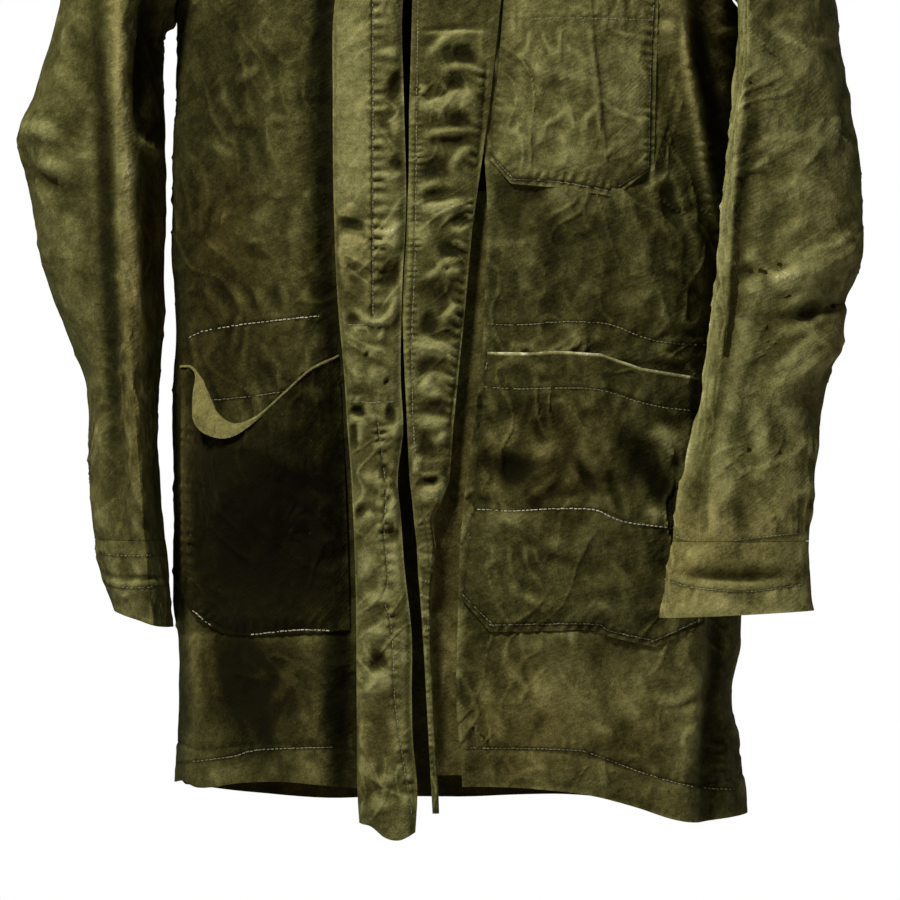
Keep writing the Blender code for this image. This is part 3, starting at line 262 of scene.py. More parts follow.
# Pockets: the corners of each, then its bottom and its mouth
CHEST_POCKET = table("z left right", (-0.397, 0.0285, 0.1595), (-0.228, 0.0400, 0.1630))
CHEST_BOTTOM = table(
    "x z",
    (0.0268, -0.366),
    (0.0448, -0.3864),
    (0.0840, -0.3896),
    (0.1264, -0.3968),
    (0.1595, -0.3720),
)
CHEST_MOUTH = table("x z", (0.030, -0.228), (0.170, -0.228))
LEFT_POCKET = table("z left right", (-0.750, 0.0060, 0.1984), (-0.522, 0.0260, 0.1944))
LEFT_POCKET_BOTTOM = table(
    "x z",
    (0.0060, -0.720),
    (0.0280, -0.7456),
    (0.1080, -0.7440),
    (0.1240, -0.7496),
    (0.1600, -0.7584),
    (0.1984, -0.7400),
)
LEFT_POCKET_MOUTH = table(
    "x z",
    (0.022, -0.5216),
    (0.060, -0.5224),
    (0.080, -0.5208),
    (0.116, -0.5232),
    (0.148, -0.5344),
    (0.195, -0.5416),
)
RIGHT_POCKET_BOTTOM = table(
    "across z",
    (0.00, -0.712),
    (0.16, -0.736),
    (0.32, -0.7495),
    (0.60, -0.7490),
    (1.00, -0.7440),
)
RIGHT_POCKET_CORNERS = (-0.2215, -0.0860)  # outer and inner x at its bottom
# The right pocket's mouth sags forward in a deep U
SAGGING_MOUTH = table(
    "across x z off",
    (0.00, -0.2225, -0.5328, 0.0000),
    (0.10, -0.2120, -0.5336, 0.0020),
    (0.20, -0.2035, -0.5410, 0.0090),
    (0.30, -0.1990, -0.5580, 0.0190),
    (0.40, -0.1910, -0.5780, 0.0300),
    (0.50, -0.1760, -0.5890, 0.0390),
    (0.60, -0.1600, -0.5900, 0.0420),
    (0.70, -0.1430, -0.5760, 0.0380),
    (0.80, -0.1270, -0.5570, 0.0290),
    (0.90, -0.1110, -0.5370, 0.0160),
    (1.00, -0.0950, -0.5250, 0.0020),
)
POCKET_BELLY = 0.0045  # how far a closed pocket stands off at its middle

# Sleeve sections, on the right sleeve: inner and outer side, front crease, depth to front and back
RIGHT_SLEEVE = table(
    "z inner outer front back crease inner_y",
    (-0.262, -0.2418, -0.3338, -0.088, 0.082, -0.2720, -0.010),
    (-0.310, -0.2400, -0.3474, -0.090, 0.072, -0.2730, -0.012),
    (-0.344, -0.2382, -0.3606, -0.092, 0.064, -0.2735, -0.016),
    (-0.360, -0.2380, -0.3586, -0.093, 0.061, -0.2730, -0.018),
    (-0.377, -0.2379, -0.3536, -0.095, 0.058, -0.2725, -0.020),
    (-0.410, -0.2381, -0.3458, -0.098, 0.051, -0.2710, -0.023),
    (-0.443, -0.2384, -0.3396, -0.100, 0.046, -0.2690, -0.026),
    (-0.492, -0.2394, -0.3228, -0.106, 0.040, -0.2640, -0.030),
    (-0.559, -0.2428, -0.2995, -0.112, 0.034, -0.2580, -0.036),
    (-0.608, -0.2433, -0.2991, -0.117, 0.028, -0.2540, -0.042),
    (-0.658, -0.2387, -0.2947, -0.121, 0.022, -0.2500, -0.048),
    (-0.691, -0.2351, -0.2911, -0.123, 0.018, -0.2470, -0.052),
    (-0.712, -0.2330, -0.2850, -0.124, 0.016, -0.2450, -0.054),
    (-0.731, -0.2311, -0.2773, -0.125, 0.014, -0.2425, -0.055),
    (-0.744, -0.2298, -0.2725, -0.126, 0.012, -0.2410, -0.056),
)
LEFT_SLEEVE = table(
    "z inner outer front back crease inner_y",
    (-0.262, 0.2310, 0.3184, -0.088, 0.080, 0.2390, -0.070),
    (-0.313, 0.2267, 0.3256, -0.094, 0.066, 0.2330, -0.078),
    (-0.361, 0.2208, 0.3328, -0.098, 0.054, 0.2272, -0.083),
    (-0.411, 0.2165, 0.3345, -0.106, 0.040, 0.2230, -0.090),
    (-0.452, 0.2130, 0.3316, -0.113, 0.026, 0.2200, -0.096),
    (-0.477, 0.2110, 0.3251, -0.119, 0.016, 0.2190, -0.102),
    (-0.514, 0.2053, 0.3129, -0.129, -0.002, 0.2150, -0.111),
    (-0.560, 0.1976, 0.2979, -0.141, -0.026, 0.2080, -0.122),
    (-0.600, 0.1877, 0.2908, -0.151, -0.052, 0.2040, -0.133),
    (-0.640, 0.1773, 0.2870, -0.161, -0.078, 0.2050, -0.142),
    (-0.672, 0.1737, 0.2830, -0.167, -0.092, 0.2060, -0.147),
    (-0.696, 0.1685, 0.2838, -0.172, -0.100, 0.2050, -0.150),
    (-0.734, 0.1626, 0.2867, -0.178, -0.110, 0.2040, -0.154),
)
# How round each quarter of a section is, from its inner side by way of its front crease
RIGHT_BULGES = (0.55, 0.60, 0.90, 0.80)
LEFT_BULGES = (0.60, 0.62, 0.90, 0.20)
RIGHT_LEAN = 0.27  # how far each upper sleeve slants outwards
LEFT_LEAN = 0.08
# A sleeve's large folds: place round it in quarters from its inner side, by way of the front
RIGHT_SLEEVE_FOLDS = table(
    "around0 z0 around1 z1 wide high",
    (1.35, -0.262, 1.30, -0.600, 0.16, -0.0060),
    (1.80, -0.330, 1.45, -0.360, 0.20, 0.0040),
    (1.75, -0.372, 1.40, -0.400, 0.18, -0.0040),
    (2.60, -0.330, 2.30, -0.380, 0.25, -0.0050),
    (3.10, -0.400, 2.80, -0.460, 0.25, 0.0040),
)
LEFT_SLEEVE_FOLDS = table(
    "around0 z0 around1 z1 wide high",
    (1.22, -0.262, 1.28, -0.600, 0.12, -0.0050),
    (1.70, -0.442, 1.35, -0.462, 0.22, 0.0060),
    (1.80, -0.482, 1.50, -0.492, 0.20, -0.0060),
    (1.85, -0.520, 1.55, -0.540, 0.20, 0.0040),
    (2.50, -0.430, 2.10, -0.480, 0.25, -0.0050),
    (3.00, -0.360, 2.70, -0.420, 0.25, 0.0040),
)
# A cuff's end: its height at the inner and at the outer side
RIGHT_CUFF_END = (-0.7440, -0.7310)
LEFT_CUFF_END = (-0.7335, -0.7280)
# Collar: from its left end round the neck to its right end
LEFT_NECK_X = 0.040  # where the left front's inner edge meets the neckline
RIGHT_NECK_X = -0.044
COLLAR_END_X = (0.014, -0.020)  # over the middle of the fly and of the button stand
STAND_PROFILE = table(  # out from the neckline, up from it
    "out up",
    (-0.0004, 0.0022),
    (-0.0030, 0.0170),
    (-0.0025, 0.0300),
    (0.0015, 0.0345),
    (0.0065, 0.0330),
)
FALL_HALF = 0.118
FALL_FRONT_DROP = 0.118
FALL_BACK_DROP = 0.050
FALL_OFF = 0.0090
FALL_OFF_FRONT = 0.0140  # over the button stand and the fly
FALL_POINT = 0.026  # how much longer the fall is at its front points


def read(rows, name, at, key="z", smooth=True):
    """A table's column at the given places, on a smooth or straight line through its rows."""
    order = np.argsort(rows[key])
    knots = rows[key][order]
    values = rows[name][order]
    at = np.clip(at, knots[0], knots[-1])
    if not smooth or len(knots) < 3:
        return np.interp(at, knots, values)
    slopes = np.gradient(values, knots)
    low = np.clip(np.searchsorted(knots, at) - 1, 0, len(knots) - 2)
    span = knots[low + 1] - knots[low]
    t = (at - knots[low]) / span
    start = (1 + 2 * t) * (1 - t) ** 2 * values[low] + t * (1 - t) ** 2 * span * slopes[low]
    end = t * t * (3 - 2 * t) * values[low + 1] - t * t * (1 - t) * span * slopes[low + 1]
    return start + end


def unit(vectors):
    return vectors / np.linalg.norm(vectors, axis=-1, keepdims=True)


def ease(t):
    """0 to 1, level at both ends."""
    t = np.clip(t, 0, 1)
    return t * t * (3 - 2 * t)


# --- the body's wall ---------------------------------------------------------------------------


def shoulder_z(x):
    return NECK_POINT_Z - SHOULDER_SLOPE * (np.abs(x) - NECK_HALF)


def half_width(x, z):
    return np.where(x < 0, read(TORSO, "right", z), read(TORSO, "left", z))


def torso(turn, z):
    """The plain wall of the body, round from centre front towards the wearer's left."""
    across = np.sin(turn)
    along = np.cos(turn)
    depth = np.where(along > 0, read(TORSO, "front", z), read(TORSO, "back", z))
    out = np.abs(across / half_width(across, z)) ** BODY_ROUNDNESS
    out = (out + np.abs(along / depth) ** BODY_ROUNDNESS) ** (-1 / BODY_ROUNDNESS)
    x = out * across
    rise = np.clip((z - UNDERARM_Z) / (shoulder_z(x) - UNDERARM_Z), 0, 1)
    closing = (1 - rise**CHEST_ROUNDNESS) ** SHOULDER_ROUNDNESS
    return np.stack([x, -out * along * closing, z + 0 * x], axis=-1)


def turn_at(x, z, side="front"):
    """How far round the body a point of its front or back lies."""
    share = np.clip(np.abs(x / half_width(x, z)), 0, 1)
    y = read(TORSO, side, z) * (1 - share**BODY_ROUNDNESS) ** (1 / BODY_ROUNDNESS)
    if side == "front":
        return np.arctan2(x, y)
    return np.arctan2(x, -y) % FULL_TURN


def torso_normal(turn, z):
    step = 0.002
    round_it = torso(turn + step, z) - torso(turn - step, z)
    z_low = np.minimum(z - step, shoulder_z(torso(turn, z)[..., 0]) - step)
    up = torso(turn, z_low + 2 * step) - torso(turn, z_low)
    return unit(np.cross(round_it, up))


RING_TURNS = np.linspace(-1.25 * np.pi, 1.75 * np.pi, 1081)
RING = torso(RING_TURNS, np.full(1081, -0.5))
RING_LENGTHS = np.concatenate([[0], np.cumsum(np.linalg.norm(np.diff(RING, axis=0), axis=1))])


def arc_of(turn):
    return np.interp(turn, RING_TURNS, RING_LENGTHS)


def turn_of(arc):
    return np.interp(arc, RING_LENGTHS, RING_TURNS)


def folds(rows, x, z):
    """The height of all soft ridges and troughs of a table at each point."""
    high = 0 * x
    for x0, z0, x1, z1, wide, tall in zip(*(rows[k] for k in "x0 z0 x1 z1 wide high".split())):
        run = np.hypot(x1 - x0, z1 - z0)
        along = ((x - x0) * (x1 - x0) + (z - z0) * (z1 - z0)) / run
        off = ((x - x0) * (z1 - z0) - (z - z0) * (x1 - x0)) / run
        beyond = np.maximum(np.maximum(-along, along - run), 0)
        end = 0.35 * run
        high = high + tall * np.exp(-((off / wide) ** 2)) * np.exp(-((beyond / end) ** 2))
    return high


def from_seam(turn, z, side):
    """How far along the cloth a point of a front lies from its side seam or armhole."""
    seam = np.radians(read(SIDE_SEAM, "left" if side > 0 else "right", z))
    rise = (z - UNDERARM_Z) / (shoulder_z(SHOULDER_TIP_X) - UNDERARM_Z)
    hole = side * np.radians(read(ARMHOLE, "front", rise, key="rise"))
    return np.abs(arc_of(np.where(z < UNDERARM_Z, seam, hole)) - arc_of(turn))


def front_lift(turn, z, side):
    """How far a front's cloth stands off the plain wall; side is -1 on the wearer's right."""
    x = torso(turn, z)[..., 0]
    high = folds(FRONT_FOLDS, x, z)
    if side < 0:
        from_middle = read(STAND, "fold", z) - VALLEY_FROM_FOLD - x
        wide = np.where(from_middle > 0, VALLEY_WIDE, VALLEY_INNER_WIDE)
        channel = np.exp(-((from_middle / wide) ** 2))
        high = high - VALLEY_DEEP * channel * ease((-0.110 - z) / 0.080)
    else:
        from_edge = (x - read(LEFT_EDGE, "x", z)) / EDGE_ROLL_WIDE
        high = high + EDGE_ROLL * np.exp(-(from_edge**2)) * ease((-0.370 - z) / 0.040)
    calm = ease(from_seam(turn, z, side) / 0.050) * ease((shoulder_z(x) - z) / 0.060)
    return high * calm


# --- drawing on the cloth in the view's frame -----------------------------------------------------

CAMERA_AT = (-0.004, -4.0, -0.600)
CAMERA_LENS = 193.5
FRAME_MIDDLE = 450  # the view's frame is 900 units square, counted from its top left
UNIT = 0.0008  # one of its units, in metres, on the front of the shirt
FRONT_REACH = 3.87  # from the camera to there
MM = 0.001


def seen(points):
    """Where points lie in the view's frame."""
    unit_there = UNIT * (points[..., 1] - CAMERA_AT[1]) / FRONT_REACH
    across = FRAME_MIDDLE + (points[..., 0] - CAMERA_AT[0]) / unit_there
    down = FRAME_MIDDLE - (points[..., 2] - CAMERA_AT[2]) / unit_there
    return across, down


def seen_from_behind(points):
    """The same, squarely from behind, at one unit to UNIT metres."""
    return FRAME_MIDDLE - points[..., 0] / UNIT, FRAME_MIDDLE - (points[..., 2] - CAMERA_AT[2]) / UNIT


def curve(line, steps=5):
    """A line's points with a smooth run between them."""
    line = np.array(line, float)
    if len(line) < 3:
        return line
    before = np.concatenate([[2 * line[0] - line[1]], line, [2 * line[-1] - line[-2]]])
    points = []
    for a, b, c, d in zip(before, before[1:], before[2:], before[3:]):
        for t in np.arange(steps) / steps:
            bend = 2 * b + (c - a) * t + (2 * a - 5 * b + 4 * c - d) * t * t
            points.append((bend + (3 * b - a - 3 * c + d) * t**3) / 2)
    return np.array(points + [line[-1]])


def along(line, x, y):
    """How far along a line points lie, how far beside it (below it where it runs right), its length."""
    nearest = np.full(x.shape, 1e9)
    run = np.zeros(x.shape)
    beside = np.zeros(x.shape)
    start = 0.0
    for (x0, y0), (x1, y1) in zip(line[:-1], line[1:]):
        length = np.hypot(x1 - x0, y1 - y0)
        ux = (x1 - x0) / length
        uy = (y1 - y0) / length
        t = np.clip((x - x0) * ux + (y - y0) * uy, 0, length)
        away = np.hypot(x - x0 - t * ux, y - y0 - t * uy)
        side = np.where(ux * (y - y0) - uy * (x - x0) > 0, 1.0, -1.0)
        closer = away < nearest
        nearest = np.where(closer, away, nearest)
        run = np.where(closer, start + t, run)
        beside = np.where(closer, away * side, beside)
        start += length
    return run, beside, start


def near_line(line, x, y, reach):
    low = line.min(axis=0) - reach
    high = line.max(axis=0) + reach
    return (x > low[0]) & (x < high[0]) & (y > low[1]) & (y < high[1])


def strokes(rows, x, y, tapered=0.3, spread=1.0):
    """The sum of soft strokes, each a line, its half width on either side and its strength."""
    total = np.zeros(x.shape)
    for points, wide, strength in rows:
        line = curve(points)
        below, above = np.broadcast_to(wide, 2) * spread
        near = near_line(line, x, y, 3 * max(below, above))
        if near.any():
            run, beside, length = along(line, x[near], y[near])
            half = np.where(beside > 0, below, above)
            ends = ease(run / (tapered * length)) * ease((length - run) / (tapered * length))
            total[near] += strength * np.exp(-((beside / half) ** 2)) * ends
    return total


def creases(drawn, x, y):
    """A piece's soft ridges and troughs, drawn in millimetres, as a height in metres."""
    return MM * drawn["depth"] * strokes(drawn["creases"], x, y, 0.45, drawn["spread"])


def patches(rows, x, y):
    """The sum of soft oval patches: middle, half sizes, turn in degrees, strength."""
    total = np.zeros(x.shape)
    for middle_x, middle_y, half_x, half_y, turn, strength in rows:
        c = np.cos(np.radians(turn))
        s = np.sin(np.radians(turn))
        dx = x - middle_x
        dy = y - middle_y
        far = ((c * dx + s * dy) / half_x) ** 2 + ((c * dy - s * dx) / half_y) ** 2
        total += strength * np.exp(-(far**1.5))
    return total


# --- small uneven things ------------------------------------------------------------------------


def noise(x, y, size, seed):
    """Smooth noise from -1 to 1 over a plane, in lumps of the given size."""
    lattice = np.random.RandomState(seed).uniform(-1, 1, (61, 61))
    column = np.floor(x / size).astype(int)
    row = np.floor(y / size).astype(int)
    tx = x / size - column
    ty = y / size - row
    tx = tx**3 * (tx * (tx * 6 - 15) + 10)
    ty = ty**3 * (ty * (ty * 6 - 15) + 10)
    near = lattice[row % 61, column % 61] * (1 - tx) + lattice[row % 61, (column + 1) % 61] * tx
    far = lattice[(row + 1) % 61, column % 61] * (1 - tx) + lattice[(row + 1) % 61, (column + 1) % 61] * tx
    return near * (1 - ty) + far * ty


# Sizes of the small wrinkles, in frame units
BEND = 16  # how far the pattern wanders
BEND_SIZE = 46
LUMPS = ((0.9, 37), (0.55, 15), (0.22, 7))  # share of the height, size
CRESTS = ((0.65, 5), (-0.85, 7), (1.35, 9))  # turn in radians, number of its noise
CREST_SIZE = 15
CREST_WIDE = 0.14
CREST_SHARE = 1.2
CREST_PATCHES = 52


def rumple(x, y, tall, seed, stretch=0.75):
    """The cloth's small wrinkles, in frame units and metres: lumps, dents and slanting crests."""
    bent_x = x + BEND * noise(x, y, BEND_SIZE, seed)
    bent_y = (y + BEND * noise(x, y, BEND_SIZE, seed + 1)) * stretch
    parts = [share * noise(bent_x, bent_y, size, seed + 2 + k) for k, (share, size) in enumerate(LUMPS)]
    total = parts[0] + parts[1] + parts[2]
    for turn, number in CRESTS:
        run = np.cos(turn) * bent_x + np.sin(turn) * bent_y
        beside = np.cos(turn) * bent_y - np.sin(turn) * bent_x
        crest = np.exp(-((noise(run / 4, beside, CREST_SIZE, seed + number) / CREST_WIDE) ** 2))
        there = ease(2.2 * noise(x, y, CREST_PATCHES, seed + number + 1) - 0.1)
        total = total + CREST_SHARE * crest * there
    return tall * total


def pucker(run, beside, spacing, reach, tall, seed, lean=0.0, pinch=1.6):
    """Gathers across a line of stitches, which are pinched down at the thread."""
    shift = 0.35 * spacing * noise(run, 0 * run, 3.1 * spacing, seed)
    beat = np.sin(FULL_TURN * (run + lean * beside + shift) / spacing)
    uneven = 0.50 + 0.50 * noise(run, 0 * run, 1.7 * spacing, seed + 1)
    profile = np.exp(-((beside / reach) ** 2)) * (1 - np.exp(-((beside / pinch) ** 2)))
    return tall * (beat * uneven * profile - 0.5 * np.exp(-((beside / pinch) ** 2)))


def puckers(rows, x, y):
    """The gathers of several stitched lines: line, spacing, reach on either side, height in mm, lean."""
    total = np.zeros(x.shape)
    for number, (points, spacing, reach, tall, lean) in enumerate(rows):
        line = curve(points)
        below, above = np.broadcast_to(reach, 2)
        near = near_line(line, x, y, 2.5 * max(below, above))
        if near.any():
            run, beside, length = along(line, x[near], y[near])
            half = np.where(beside > 0, below, above)
            inside = ease(run / 6) * ease((length - run) / 6)
            total[near] += inside * pucker(run, beside, spacing, half, tall * MM, 40 + 7 * number, lean)
    return total


def blurred(values, cells, tube=False):
    """Values averaged over a square of cells, for what stands out from its surroundings."""
    for axis in (0, 1):
        mode = "wrap" if tube and axis == 1 else "edge"
        pad = [(0, 0), (0, 0)]
        pad[axis] = (cells + 1, cells)
        summed = np.cumsum(np.pad(values, pad, mode=mode), axis=axis)
        size = values.shape[axis]
        high = np.take(summed, np.arange(size) + 2 * cells + 1, axis=axis)
        low = np.take(summed, np.arange(size), axis=axis)
        values = (high - low) / (2 * cells + 1)
    return values


def wear_and_painted_shade(height, cells, full, tube=False):
    """Painted highlight on what stands proud and painted shade in what lies deep, with some fading and
    grime there too, from -1 to 1.
    """
    proud = height - blurred(blurred(height, cells, tube), cells, tube)
    return np.tanh(proud / full)


FINE_WEAR_AND_SHADE = 0.30  # how much the small wrinkles' wear and painted shade show
FINE_FULL = 0.00070  # the height at which it is nearly full
# The inner face of a wall: painted shade, with a painted reddish cast, as the shirt's inside looks in its
# own shadow.
INSIDE_PAINTED_SHADE = -0.8
INSIDE_PAINTED_WARMTH = 0.6

# --- walls of cloth -----------------------------------------------------------------------------

WALL = 0.0010  # one layer of this cloth
INNER_SKIP = 3  # the inner face has every third row and column of the outer one


def grid_normals(grid, tube=False):
    down = np.gradient(grid, axis=0)
    if tube:
        across = (np.roll(grid, -1, axis=1) - np.roll(grid, 1, axis=1)) / 2
    else:
        across = np.gradient(grid, axis=1)
    return unit(np.cross(across, down))


def squares(number, inwards=False):
    corners = [number[:-1, :-1], number[:-1, 1:], number[1:, 1:], number[1:, :-1]]
    if inwards:
        corners = corners[::-1]
    return np.stack(corners, axis=-1).reshape(-1, 4)


def rim(outer, inner):
    """The faces between one edge of the outer face and the coarser edge of the inner one."""
    skip = (len(outer) - 1) // (len(inner) - 1)
    faces = []
    for k in range(len(inner) - 1):
        near = outer[k * skip : (k + 1) * skip + 1]
        faces.append([near[0], inner[k], inner[k + 1], *near[:0:-1]])
    return faces


def lengths(grid, axis):
    """How far along the cloth each row or column lies, evened out over the piece."""
    steps = np.linalg.norm(np.diff(grid, axis=axis), axis=-1).mean(axis=1 - axis)
    return np.concatenate([[0], np.cumsum(steps)])


def cloth(name, grid, paint, tube=False, normals=None, thick=WALL, skip=INNER_SKIP):
    """A closed wall of cloth round a grid of points, its rows and columns kept as its own weave."""
    if normals is None:
        normals = grid_normals(grid, tube)
    rows, columns = grid.shape[:2]
    over = np.arange(columns + tube) % columns
    outer = np.arange(rows * columns).reshape(rows, columns)[:, over]
    kept_rows = np.arange(0, rows, skip)
    kept_columns = np.arange(0, columns, skip)
    back = (grid - normals * thick / 2)[kept_rows][:, kept_columns]
    over = np.arange(len(kept_columns) + tube) % len(kept_columns)
    inner = rows * columns + np.arange(back.size // 3).reshape(back.shape[:2])[:, over]
    points = np.concatenate([(grid + normals * thick / 2).reshape(-1, 3), back.reshape(-1, 3)])
    faces = squares(outer).tolist() + squares(inner, inwards=True).tolist()
    faces += rim(outer[0].tolist(), inner[0].tolist())
    faces += rim(outer[-1, ::-1].tolist(), inner[-1, ::-1].tolist())
    if not tube:
        faces += rim(outer[::-1, 0].tolist(), inner[::-1, 0].tolist())
        faces += rim(outer[:, -1].tolist(), inner[:, -1].tolist())
    mesh = bpy.data.meshes.new(name)
    mesh.from_pydata(points.tolist(), [], faces)
    mesh.shade_smooth()
    mesh.set_sharp_from_angle(angle=np.radians(70))
    for layer, (values, inside) in paint.items():
        values = np.concatenate([values.ravel(), np.full(back.size // 3, inside)])
        mesh.attributes.new(layer, "FLOAT", "POINT").data.foreach_set("value", values.astype(np.float32))
    weave(mesh, grid, kept_rows, kept_columns)
    piece = bpy.data.objects.new(name, mesh)
    bpy.context.scene.collection.objects.link(piece)
    return piece


def weave(mesh, grid, kept_rows, kept_columns):
    """A map of the piece in metres of cloth, for its threads to follow."""
    up = lengths(grid, 0)
    across = lengths(grid, 1)
    outer = np.stack(np.broadcast_arrays(across[None, :], up[:, None]), axis=-1)
    inner = outer[kept_rows][:, kept_columns]
    places = np.concatenate([outer.reshape(-1, 2), inner.reshape(-1, 2)])
    corners = np.zeros(len(mesh.loops), int)
    mesh.loops.foreach_get("vertex_index", corners)
    mesh.uv_layers.new(name="weave").data.foreach_set("uv", places[corners].astype(np.float32).ravel())


PIECES = {}


def finish(piece, material):
    """One sewn piece in place of its solid, which is hidden; its finish is added and it is kept for the
    stitches to be laid on.
    """
    piece.data.materials.append(material)
    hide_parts(piece.name.removeprefix("cloth_"))
    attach(piece, "root")
    vertices = [vertex.co for vertex in piece.data.vertices]
    PIECES[piece.name] = BVHTree.FromPolygons(vertices, [face.vertices for face in piece.data.polygons])
    return piece


# --- what is drawn on the cloth, in the view's frame ---------------------------------------------
# creases: line, half width below and above it, height in mm; puckers: line, spacing, reach below
# and above, height in mm, lean; tone patches, lumps, calm and hue patches: middle, half sizes, turn,
# strength. A piece's base is its painted light level, lighter or darker by how the light falls on it;
# its tone patches are mostly painted light and shade, with some wear; its marked lines paint shade
# along seams and highlights along edges and folds; its hue patches are brownish stains and painted
# warm casts in shade.

WAIST_RIGHT = ((188, 338), (205, 331), (240, 325), (280, 320), (320, 316))
WAIST_RIGHT_LOW = ((180, 402), (228, 399), (262, 395), (297, 390), (325, 388))
HEM_RIGHT = ((150, 764), (178, 763), (230, 757), (260, 750), (335, 747))
WAIST_LEFT = ((487, 324), (520, 325), (560, 322), (600, 323), (620, 328), (645, 338), (670, 343),
    (730, 347))
HEM_LEFT = ((465, 748), (570, 750), (600, 757), (640, 772), (690, 786), (740, 790))
SIDE_LEFT_HIGH = ((702, 130), (709, 165), (714, 200), (722, 245), (728, 300))
SIDE_LEFT_LOW = ((735, 560), (730, 640), (728, 700), (724, 780))

RIGHT_DRAWN = {
    "base": -0.32,
    "depth": 1.50,
    "spread": 1.00,
    "rumple": 0.0010,
    "seed": 11,
    "calm": ((200, 40, 30, 40, 0, -0.4),),
    "hem": 0.030,
    "creases": (
        (((232, 88), (248, 76), (265, 63)), 5, 1.6),
        (((268, 196), (287, 195)), 3, 0.9),
        (((205, 130), (222, 150), (246, 158)), 7, 1.2),
        (((250, 120), (262, 150), (266, 190)), 7, -1.4),
        (((285, 40), (291, 100), (296, 160)), 8, 1.3),
        (((300, 190), (296, 240), (302, 290)), 8, 1.6),
        (((243, 244), (258, 241), (270, 243)), 3, 1.1),
        (((200, 282), (215, 300), (232, 322)), 4, 1.3),
        (((226, 276), (238, 296), (250, 320)), 4, 1.4),
        (((255, 284), (262, 302), (268, 318)), 4, 1.3),
        (((283, 278), (286, 298), (290, 316)), 4, 1.3),
        (((309, 276), (307, 296), (304, 314)), 4, 1.3),
        (((214, 276), (227, 298), (241, 322)), 4, -1.2),
        (((243, 281), (252, 300), (259, 318)), 4, -1.2),
        (((270, 281), (276, 300), (280, 316)), 4, -1.2),
        (((205, 620), (212, 660), (224, 716)), 7, 1.6),
        (((300, 648), (282, 690), (262, 724)), 7, 1.5),
        (((235, 660), (243, 700), (241, 740)), 12, -2.0),
        (((310, 660), (318, 700), (314, 740)), 8, 1.2),
        (((205, 766), (216, 778), (222, 790)), 5, 0.9),
        (((268, 760), (274, 772), (271, 784)), 5, 1.0),
        (((300, 758), (312, 770), (318, 786)), 5, 0.9),
    ),
    "puckers": (
        (WAIST_RIGHT, 14.5, (36, 13), 1.3, 0.35),
        (WAIST_RIGHT_LOW, 15.0, (10, 26), 0.8, -0.30),
        (HEM_RIGHT, 9.5, (7, 10), 0.5, 0.2),
    ),
    "painted_light_shade_and_wear": ((265, 700, 90, 60, 0, -0.32), 
        (205, 6, 14, 14, 0, 0.45),
        (251, 212, 14, 30, 0, 0.30),
        (262, 358, 48, 30, 0, -0.30),
        (244, 680, 38, 46, 0, -0.80),
        (190, 680, 13, 70, 0, 0.75),
        (290, 705, 55, 60, 0, -0.10),
        (262, 772, 80, 16, 0, 0.35),
        (186, 250, 12, 170, 0, -0.35),
        (330, 200, 12, 420, 0, -0.55),
        (336, 600, 12, 260, 0, -0.65),
        (270, 60, 40, 60, 0, -0.10),
    ),
    "painted_shade_and_highlight_lines": (
        (WAIST_RIGHT, 1.8, -0.35),
        (WAIST_RIGHT_LOW, 1.8, -0.35),
        (HEM_RIGHT, 1.8, -0.60),
        (((177, 783), (205, 792), (270, 784), (357, 795)), (8, 2.5), 0.35),
    ),
    "brownish_and_painted_shade_hues": ((218, 225, 24, 62, 0, 0.45), (250, 690, 60, 50, 0, 0.3)),
}

